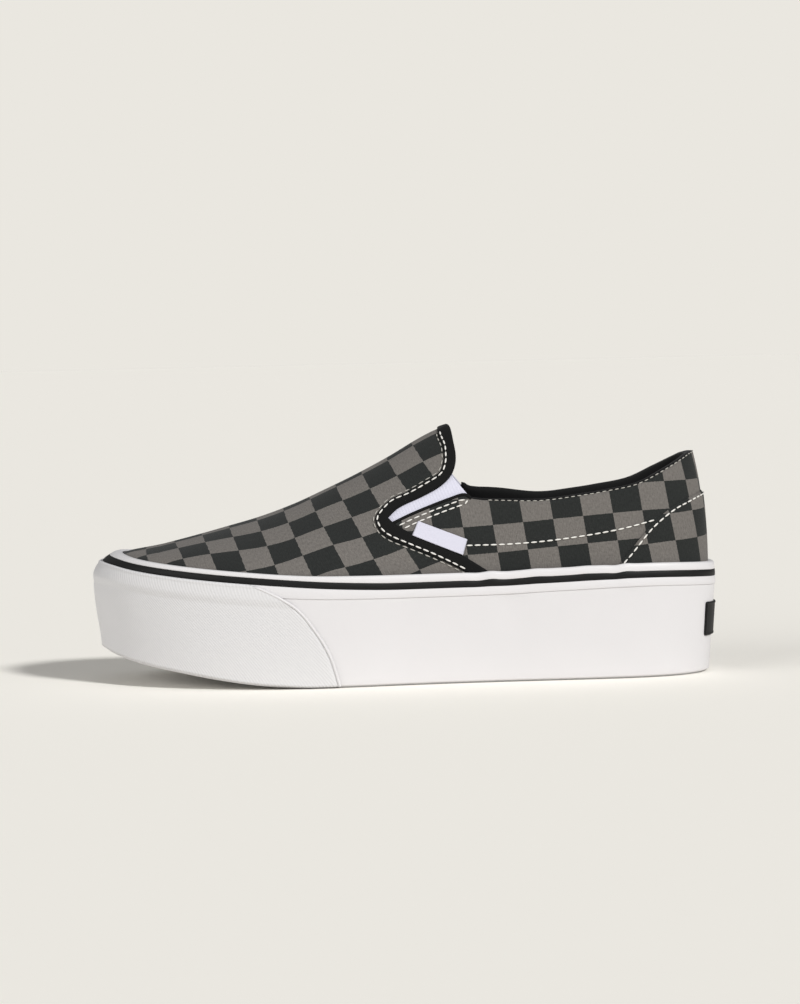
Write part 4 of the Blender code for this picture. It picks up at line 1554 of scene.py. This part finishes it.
        def place(u: Array, v: Array) -> tuple[Array, Array, Array]:
            """Place the grid.

            Args:
                u: shares along the grid's columns.
                v: shares along its rows.

            Returns:
                The points, with outward directions and cloth coordinates where needed.
            """
            q = heel_q + (start_q - heel_q) * u
            t_top = last.t_under(q, top)
            t_low = np.maximum(last.t_under(q, low), -0.5)
            x = last.feather(q)[:, 0]
            t_low = np.where(x > float(last.x_of(0.365)), -0.5, t_low)
            t = t_low + (t_top - t_low) * v
            points, outs = last.at(q, t, self.creases(q, t))
            return points, outs, self.side_cloth(q, points, side, self.quarter_lay)

        piece = grid_piece("quarter_" + side.name.lower(), 170, 44, place)
        dress(piece, self.looks.quarter_canvas, (),
              self.cloth_mm * MM, self.looks.lining)

    def counter(self) -> None:
        """Outside heel counter, over both quarters."""
        last = self.last
        edge_line = height_over(along(last.flat(COUNTER_EDGE), np.linspace(0, 1, 120)))
        front = float(last.x_of(0.1605))
        q0 = last.q_at(Side.OUTER, front)
        q1 = last.q_at(Side.INNER, front) - last.count

        def place(u: Array, v: Array) -> tuple[Array, Array, Array]:
            """Place the grid.

            Args:
                u: shares along the grid's columns.
                v: shares along its rows.

            Returns:
                The points, with outward directions and cloth coordinates where needed.
            """
            q = q0 + (q1 - q0) * u
            t_top = last.t_under(q, edge_line)
            t = -0.3 + (np.maximum(t_top, -0.25) + 0.3) * v
            edge = np.minimum(np.minimum(u, 1 - u) * 0.1, (1 - v) * 0.03)
            off = 0.0003 + 0.0008 * smoothstep(0.0, 0.0006, edge)
            points, outs = last.at(q, t, off)
            cloth = np.zeros((len(u), 2))
            for side in Side:
                here = (q > last.heel_q) == (side is Side.OUTER)
                turns = last.count if side is Side.INNER else 0
                cloth[here] = self.side_cloth(q[here] + turns, points[here], side,
                                              self.counter_lay)
            return points, outs, cloth

        piece = grid_piece("heel_counter_panel", 150, 40, place)
        dress(piece, self.looks.counter_canvas, ["heel_counter"], 0.001)


@dataclass
class ThroatTrim:
    """Folded trim round the vamp's edge, the gores and the side tab."""

    last: Last
    looks: Wardrobe

    def lines(self) -> tuple[Array, Array]:
        """Front and rear edge of the trim in the side view, matched row by row.

        Returns:
            The front line and the rear line.
        """
        last = self.last
        front = last.flat(TRIM_FRONT)
        turn = 10
        upper = np.linspace(0, 1, 90)
        lower = np.linspace(0, 1, 70)[1:]
        f = np.vstack([along(front[:turn + 2], upper), along(front[turn + 1:], lower)])
        r = np.vstack([along(last.flat(VAMP_EDGE), upper),
                       along(last.flat(TRIM_REAR), lower)])
        return f, r

    def build(self) -> None:
        """Build and dress the trim, the gores and the tab."""
        for side in Side:
            self.strip(side)
            self.gore(side)
        self.quarter_piping()
        self.tab()

    def strip(self, side: Side) -> None:
        """Trim of one side, from the crest to the tape.

        Args:
            side: outer or inner.
        """
        last = self.last
        front, rear = self.lines()
        count = len(front) - 1
        fold = 89       # row at which the strip leaves the gore for the canvas
        table = np.vstack([TRIM_FOLD, TRIM_FOLD[:1]])
        rows = len(table) - 1
        lines = front, (front + rear) / 2, rear
        found = [last.locate(side, line[:, 0], line[:, 1]) for line in lines]
        for (q_line, t_line), line in zip(found, lines):
            q_line[0], t_line[0] = last.q_at(side, float(line[0, 0])), 1.0

        def place(u: Array, v: Array) -> tuple[Array, None, None]:
            """Place the grid.

            Args:
                u: shares along the grid's columns.
                v: shares along its rows.

            Returns:
                The points, with outward directions and cloth coordinates where needed.
            """
            row = np.rint(v * rows).astype(int)
            k = u * count
            part = np.arange(count + 1)
            w = table[row, 0]
            off = table[row, 1] * MM
            flat_leg = smoothstep(fold - 2, fold + 6, k)
            off = np.where(off < -0.0004, off * (1 - flat_leg) - 0.0004 * flat_leg, off)
            # a parabola over the width, through the front, the middle and the rear line
            blend = 2 * (w - 0.5) * (w - 1), 4 * w * (1 - w), 2 * w * (w - 0.5)
            q, t = (sum(np.interp(k, part, places[kind]) * share
                        for places, share in zip(found, blend)) for kind in (0, 1))
            points, _ = last.at(q, np.clip(t, -1, 1.0), off)
            return points, None, None

        piece = grid_piece("trim_" + side.name.lower(), count, rows, place)
        seal(piece)
        nodes = ["throat_binding"] if side is Side.OUTER else []
        dress(piece, self.looks.trim, nodes)

    def gore(self, side: Side) -> None:
        """Elastic gore in the notch between vamp and quarter.

        Args:
            side: outer or inner.
        """
        last = self.last

        def place(u: Array, v: Array) -> tuple[Array, Array, Array]:
            """Place the grid.

            Args:
                u: shares along the grid's columns.
                v: shares along its rows.

            Returns:
                The points, with outward directions and cloth coordinates where needed.
            """
            a, b = along(GORE_LOW * MM, u), along(GORE_HIGH * MM, u)
            flat = a * (1 - v[:, None]) + b * v[:, None]
            q, t = last.locate(side, flat[:, 0], flat[:, 1])
            points, outs = last.at(q, t, -0.0009)
            return points, outs, flat @ GORE_GRAIN

        piece = grid_piece("gore_" + side.name.lower(), 60, 24, place)
        dress(piece, self.looks.elastic,
              ["gore_lateral" if side is Side.OUTER else "gore_medial"],
              0.0011)

    def quarter_piping(self) -> None:
        """Black folded edge of the quarters along the gores."""
        last = self.last
        for side in Side:
            line = along(last.flat(QUARTER_EDGE), np.linspace(0.0, 1.0, 60))
            q, t = last.locate(side, line[:, 0], line[:, 1])
            points, _ = last.at(q, t, -0.0002)
            bm = bmesh.new()
            sweep_round(bm, points, 0.00075)
            piece = to_object("quarter_edge_" + side.name.lower(), bm)
            dress(piece, self.looks.trim, ())

    def tab(self) -> None:
        """Small woven tab on the outer side, left bare, its ends folded under."""
        last = self.last
        corners = TAB_CORNERS * MM

        def place(u: Array, v: Array) -> tuple[Array, Array, Array]:
            """Place the grid.

            Args:
                u: shares along the grid's columns.
                v: shares along its rows.

            Returns:
                The points, with outward directions and cloth coordinates where needed.
            """
            top = corners[0] * (1 - u)[:, None] + corners[1] * u[:, None]
            low = corners[3] * (1 - u)[:, None] + corners[2] * u[:, None]
            flat = low * (1 - v)[:, None] + top * v[:, None]
            q, t = last.locate(Side.OUTER, flat[:, 0], flat[:, 1])
            ends = np.minimum(u, 1 - u) * 21.0
            off = 0.0006 + 0.0007 * smoothstep(0.0, 0.5, ends) \
                + 0.00025 * np.exp(-((ends - 0.5) / 0.5)**2)
            points, outs = last.at(q, t, off)
            return points, outs, np.stack([u * 0.021, v * 0.0063], -1)

        piece = grid_piece("side_tab", 60, 20, place)
        dress(piece, self.looks.ribbon, ["label_tab"], 0.0006)


@dataclass
class Inside:
    """Padded collar, lining and footbed."""

    last: Last
    looks: Wardrobe
    upper: CanvasUpper

    def build(self) -> None:
        """Build and dress the inside."""
        self.collar()
        self.footbed()

    def collar(self) -> None:
        """Collar roll and heel lining, down to the footbed."""
        last = self.last
        top = self.upper.top_edge()
        front = float(last.x_of(0.402))
        q0 = last.q_at(Side.OUTER, front)
        q1 = last.q_at(Side.INNER, front) - last.count
        run = np.linspace(0, 1, len(COLLAR_ROLL))
        rise, depth = (list(zip(run, COLLAR_ROLL[:, k])) for k in (0, 1))

        def place(u: Array, v: Array) -> tuple[Array, Array, None]:
            """Place the grid.

            Args:
                u: shares along the grid's columns.
                v: shares along its rows.

            Returns:
                The points, with outward directions and cloth coordinates where needed.
            """
            q = q0 + (q1 - q0) * u
            t_edge = last.t_under(q, top)
            x = last.section(q, t_edge)[:, 0]
            front_lift = 2.6 * (1 - smoothstep(0.036, 0.068, x)) * (q < last.heel_q)
            rear_drop = 0.6 * smoothstep(0.108, 0.126, x)
            up = curve(rise, v)
            up = (up + (front_lift - rear_drop) * smoothstep(-3.0, 0.0, up)) * MM
            off = curve(depth, v) * MM
            ends = np.minimum(u, 1 - u) / 0.03
            thin = 0.45 + 0.55 * smoothstep(0.0, 1.0, ends)
            off = np.where(off < -0.0021, -0.0021 + (off + 0.0021) * thin, off)
            step = np.linalg.norm(last.section(q, t_edge) - last.section(q, t_edge - 0.01),
                                  axis=1) / 0.01
            z_edge = last.section(q, t_edge)[:, 2]
            t_down = last.t_for_height(q, np.maximum(z_edge + up, last.tape_foot(
                last.feather(q)[:, 0]) + 0.0036))
            t = np.where(up > 0, t_edge + up / step, t_down)
            points, outs = last.at(q, t, off)
            return points, outs, None

        piece = grid_piece("collar_padding", 260, 70, place)
        dress(piece, self.looks.lining, ["collar_lining"], 0.0004)

    def footbed(self) -> None:
        """Cloth-covered footbed on the platform."""
        last = self.last
        inset = SIZE.tape_t + SIZE.gap + SIZE.wall + 0.0005
        columns, rows = 160, 40
        heel_x, toe_x = last.ends()

        def place(u: Array, v: Array) -> tuple[Array, Array, None]:
            """Place the grid.

            Args:
                u: shares along the grid's columns.
                v: shares along its rows.

            Returns:
                The points, with outward directions and cloth coordinates where needed.
            """
            x = heel_x + (toe_x - heel_x) * (1 - np.cos(np.pi * u)) / 2
            ends = []
            for side in Side:
                point, out, s = last.outline(last.crossing(side, x))
                ends.append(point - out * (inset + 1.25 * last.lean(s, 0.38))[:, None])
            flat = ends[0] * (1 - v)[:, None] + ends[1] * v[:, None]
            cup = 0.0008 * (2 * np.abs(v - 0.5))**3
            z = last.tape_foot(flat[:, 0]) + SIZE.insole_t + cup - 0.0004
            points = np.column_stack([flat, z])
            return points, np.tile([0.0, 0.0, 1.0], (len(u), 1)), None

        piece = grid_piece("footbed", columns, rows, place)
        dress(piece, self.looks.footbed, ["insole"], SIZE.insole_t - 0.0006)


@dataclass(frozen=True)
class Thread:
    """One kind of stitch: its repeat, its length and its radius."""

    pitch: float = 0.0034
    stitch: float = 0.0027
    radius: float = 0.00032


@dataclass
class Stitching:
    """Rows of thread on the outside."""

    last: Last
    looks: Wardrobe
    bold: Thread = Thread()
    fine: Thread = Thread(0.0034, 0.0024, 0.00024)
    edge: Thread = Thread(0.0027, 0.0018, 0.00020)

    def row(self, bm: bmesh.types.BMesh, side: Side, line: Array, lift: float,
            thread: Thread) -> None:
        """Add one row of stitches.

        Args:
            bm: the mesh to add to.
            side: the side of the shoe.
            line: the row in the side view.
            lift: height of the thread's middle above the canvas.
            thread: the kind of stitch.
        """
        fine = along(line, np.linspace(0, 1, 160))
        self.sew(bm, *self.last.locate(side, fine[:, 0], fine[:, 1]), lift, thread)

    def edge_row(self, bm: bmesh.types.BMesh, side: Side, line: Array, lift: float,
                 thread: Thread) -> None:
        """Add one row that goes on round the back of the heel.

        Args:
            bm: the mesh to add to.
            side: the side of the shoe.
            line: the row in the side view, read as Z over X.
            lift: height of the thread's middle above the canvas.
            thread: the kind of stitch.
        """
        q = np.linspace(self.last.branch[side][0],
                        self.last.q_at(side, line[:, 0].min()), 300)
        self.sew(bm, q, self.last.t_under(q, height_over(line)), lift, thread)

    def sew(self, bm: bmesh.types.BMesh, q: Array, t: Array, lift: float,
            thread: Thread) -> None:
        """Add stitches along a line on the last.

        Args:
            bm: the mesh to add to.
            q: outline places.
            t: shares up the section.
            lift: height of the thread's middle above the canvas.
            thread: the kind of stitch.
        """
        points, outs = self.last.at(q, np.clip(t, -0.02, 1), lift)
        run = run_along(points)
        for k in range(max(1, int(run[-1] / thread.pitch))):
            places = k * thread.pitch + np.array([0.0, 0.5, 1.0]) * thread.stitch
            ends = np.stack([np.interp(places, run, points[:, i]) for i in range(3)], -1)
            out = Vector([float(np.interp(places[1], run, outs[:, i])) for i in range(3)])
            span = Vector(ends[2] - ends[0])
            if span.length < thread.stitch / 4:
                continue
            x_axis = span.normalized()
            y_axis = out.cross(x_axis).normalized()
            turn = Matrix((x_axis, y_axis, x_axis.cross(y_axis))).transposed().to_4x4()
            stretch = Matrix.Diagonal((span.length / 2, thread.radius * 1.15, thread.radius, 1))
            bmesh.ops.create_uvsphere(bm, u_segments=6, v_segments=6, radius=1.0,
                                      matrix=Matrix.Translation(ends[1]) @ turn @ stretch
                                      @ Matrix.Rotation(math.pi / 2, 4, "Y"))

    def shifted(self, line: Array, distance: float) -> Array:
        """Side-view line moved to its left by a distance.

        Args:
            line: the line in the side view.
            distance: how far to move it, in metres.

        Returns:
            The moved line.
        """
        run = np.gradient(line, axis=0)
        side = np.stack([-run[:, 1], run[:, 0]], -1)
        side /= np.linalg.norm(side, axis=1)[:, None]
        return line + side * distance

    def build(self) -> None:
        """Build and dress every row."""
        last = self.last
        front = along(last.flat(TRIM_FRONT), np.linspace(0, 1, 80))[1:-3]
        counter = along(last.flat(COUNTER_EDGE), np.linspace(0, 1, 60))[1:]
        middle = QUARTER_ROW * MM
        quarter = along(last.flat(QUARTER_EDGE)[:5], np.linspace(0.06, 0.97, 30))
        near, far = self.shifted(quarter, -0.0021), self.shifted(quarter, -0.0041)
        ahead = quarter[-1] - quarter[-3]
        turn = (near[-1] + far[-1]) / 2 + ahead / np.linalg.norm(ahead) * 0.0026
        loop = np.vstack([near, turn[None], far[::-1]])
        collar = along(last.flat(COLLAR_EDGE), np.linspace(0, 1, 80)) + [0, 0.0001]
        for side in Side:
            bold, fine = bmesh.new(), bmesh.new()
            self.row(bold, side, self.shifted(front, 0.0011), 0.00105, self.bold)
            self.edge_row(bold, side, self.shifted(counter, -0.0013), 0.0013, self.bold)
            self.row(bold, side, middle, 0.00025, self.bold)
            self.row(bold, side, loop, 0.00025, self.bold)
            self.row(fine, side, self.shifted(front, -0.0006), 0.0002, self.fine)
            self.edge_row(fine, side, collar, 0.0001, self.edge)
            dress(to_object("stitches_" + side.name.lower(), bold), self.looks.thread)
            dress(to_object("fine_stitches_" + side.name.lower(), fine), self.looks.fine_thread)


@dataclass(frozen=True)
class Sun:
    """Distant light: bearing from the viewer, height, power and angular size, in degrees."""

    name: str
    azimuth: float
    height: float
    power: float
    angle: float


@dataclass
class Studio:
    """Pale floor, soft light and the camera."""

    pitch_deg: float = 3.0
    roll_deg: float = 1.3
    distance: float = 1.2
    lens: float = 99.4
    target: tuple[float, float, float] = (-0.0007, 0.0, 0.07517)
    paper: str = "eae7e0"
    floor_gain: float = 1.173   # makes the lit floor meet the paper behind it
    sky: float = 0.26
    suns: tuple[Sun, ...] = (Sun("key", 42.0, 36.0, 2.6, 9.0),
                             Sun("fill", -55.0, 15.0, 1.25, 50.0))

    def camera(self) -> None:
        """Camera at the photo's angle: level with the floor edge, slightly rolled."""
        data = bpy.data.cameras.new("camera")
        data.lens = self.lens
        data.sensor_width = 36.0
        rig = bpy.data.objects.new("camera", data)
        bpy.context.scene.collection.objects.link(rig)
        pitch, roll = math.radians(self.pitch_deg), math.radians(self.roll_deg)
        back = Vector((0, -math.cos(pitch), math.sin(pitch)))
        right = (-back).cross(Vector((0, 0, 1))).normalized()
        up = right.cross(-back)
        x_axis = right * math.cos(roll) - up * math.sin(roll)
        y_axis = right * math.sin(roll) + up * math.cos(roll)
        turn = Matrix((x_axis, y_axis, back)).transposed()
        rig.matrix_world = Matrix.Translation(Vector(self.target) + back * self.distance) \
            @ turn.to_4x4()
        bpy.context.scene.camera = rig

    def floor(self) -> None:
        """Seamless paper that the shoe stands on."""
        bm = bmesh.new()
        bmesh.ops.create_grid(bm, x_segments=1, y_segments=1, size=60.0)
        piece = to_object("floor", bm)
        material = bpy.data.materials.new("matte_paper")
        material.use_nodes = True
        tree = material.node_tree
        tree.nodes.remove(tree.nodes["Principled BSDF"])
        colour = (*(c * self.floor_gain for c in linear(self.paper)[:3]), 1.0)
        paper = add_node(tree, "BsdfDiffuse", {"Color": colour})
        tree.links.new(paper.outputs[0], tree.nodes["Material Output"].inputs["Surface"])
        piece.data.materials.append(material)

    def lights(self) -> None:
        """Key light from the front right, a weak fill, and an even sky."""
        for sun in self.suns:
            data = bpy.data.lights.new(sun.name, "SUN")
            data.energy = sun.power
            data.angle = math.radians(sun.angle)
            lamp = bpy.data.objects.new(sun.name, data)
            bpy.context.scene.collection.objects.link(lamp)
            a, e = math.radians(sun.azimuth), math.radians(sun.height)
            back = Vector((math.sin(a) * math.cos(e), -math.cos(a) * math.cos(e),
                           math.sin(e)))
            lamp.rotation_mode = "QUATERNION"
            lamp.rotation_quaternion = back.to_track_quat("Z", "Y")
        world = bpy.data.worlds.new("studio")
        world.use_nodes = True
        tree = world.node_tree
        tree.nodes.clear()
        seen = add_node(tree, "Background", {"Color": linear(self.paper), "Strength": 1.0})
        sky = add_node(tree, "Background", {"Color": (1.0, 1.0, 1.0, 1), "Strength": self.sky})
        path = add_node(tree, "LightPath")
        mix = add_node(tree, "MixShader", {0: path.outputs["Is Camera Ray"],
                                           1: sky.outputs[0], 2: seen.outputs[0]})
        out = add_node(tree, "OutputWorld", {"Surface": mix.outputs[0]})
        out.is_active_output = True
        bpy.context.scene.world = world

    def build(self) -> None:
        """Set the stage and the colour handling."""
        self.camera()
        self.floor()
        self.lights()
        bpy.context.scene.view_settings.view_transform = "Standard"
        bpy.context.scene.view_settings.look = "None"


def main() -> None:
    """Build the shoe and its studio."""
    logging.basicConfig(level=logging.INFO, format="%(name)s: %(message)s")
    looks = Wardrobe()
    PlatformSole(LAST, looks).build()
    upper = CanvasUpper(LAST, looks)
    upper.build()
    ThroatTrim(LAST, looks).build()
    Inside(LAST, looks, upper).build()
    Stitching(LAST, looks).build()
    Studio().build()


if __name__ == "__main__":
    main()
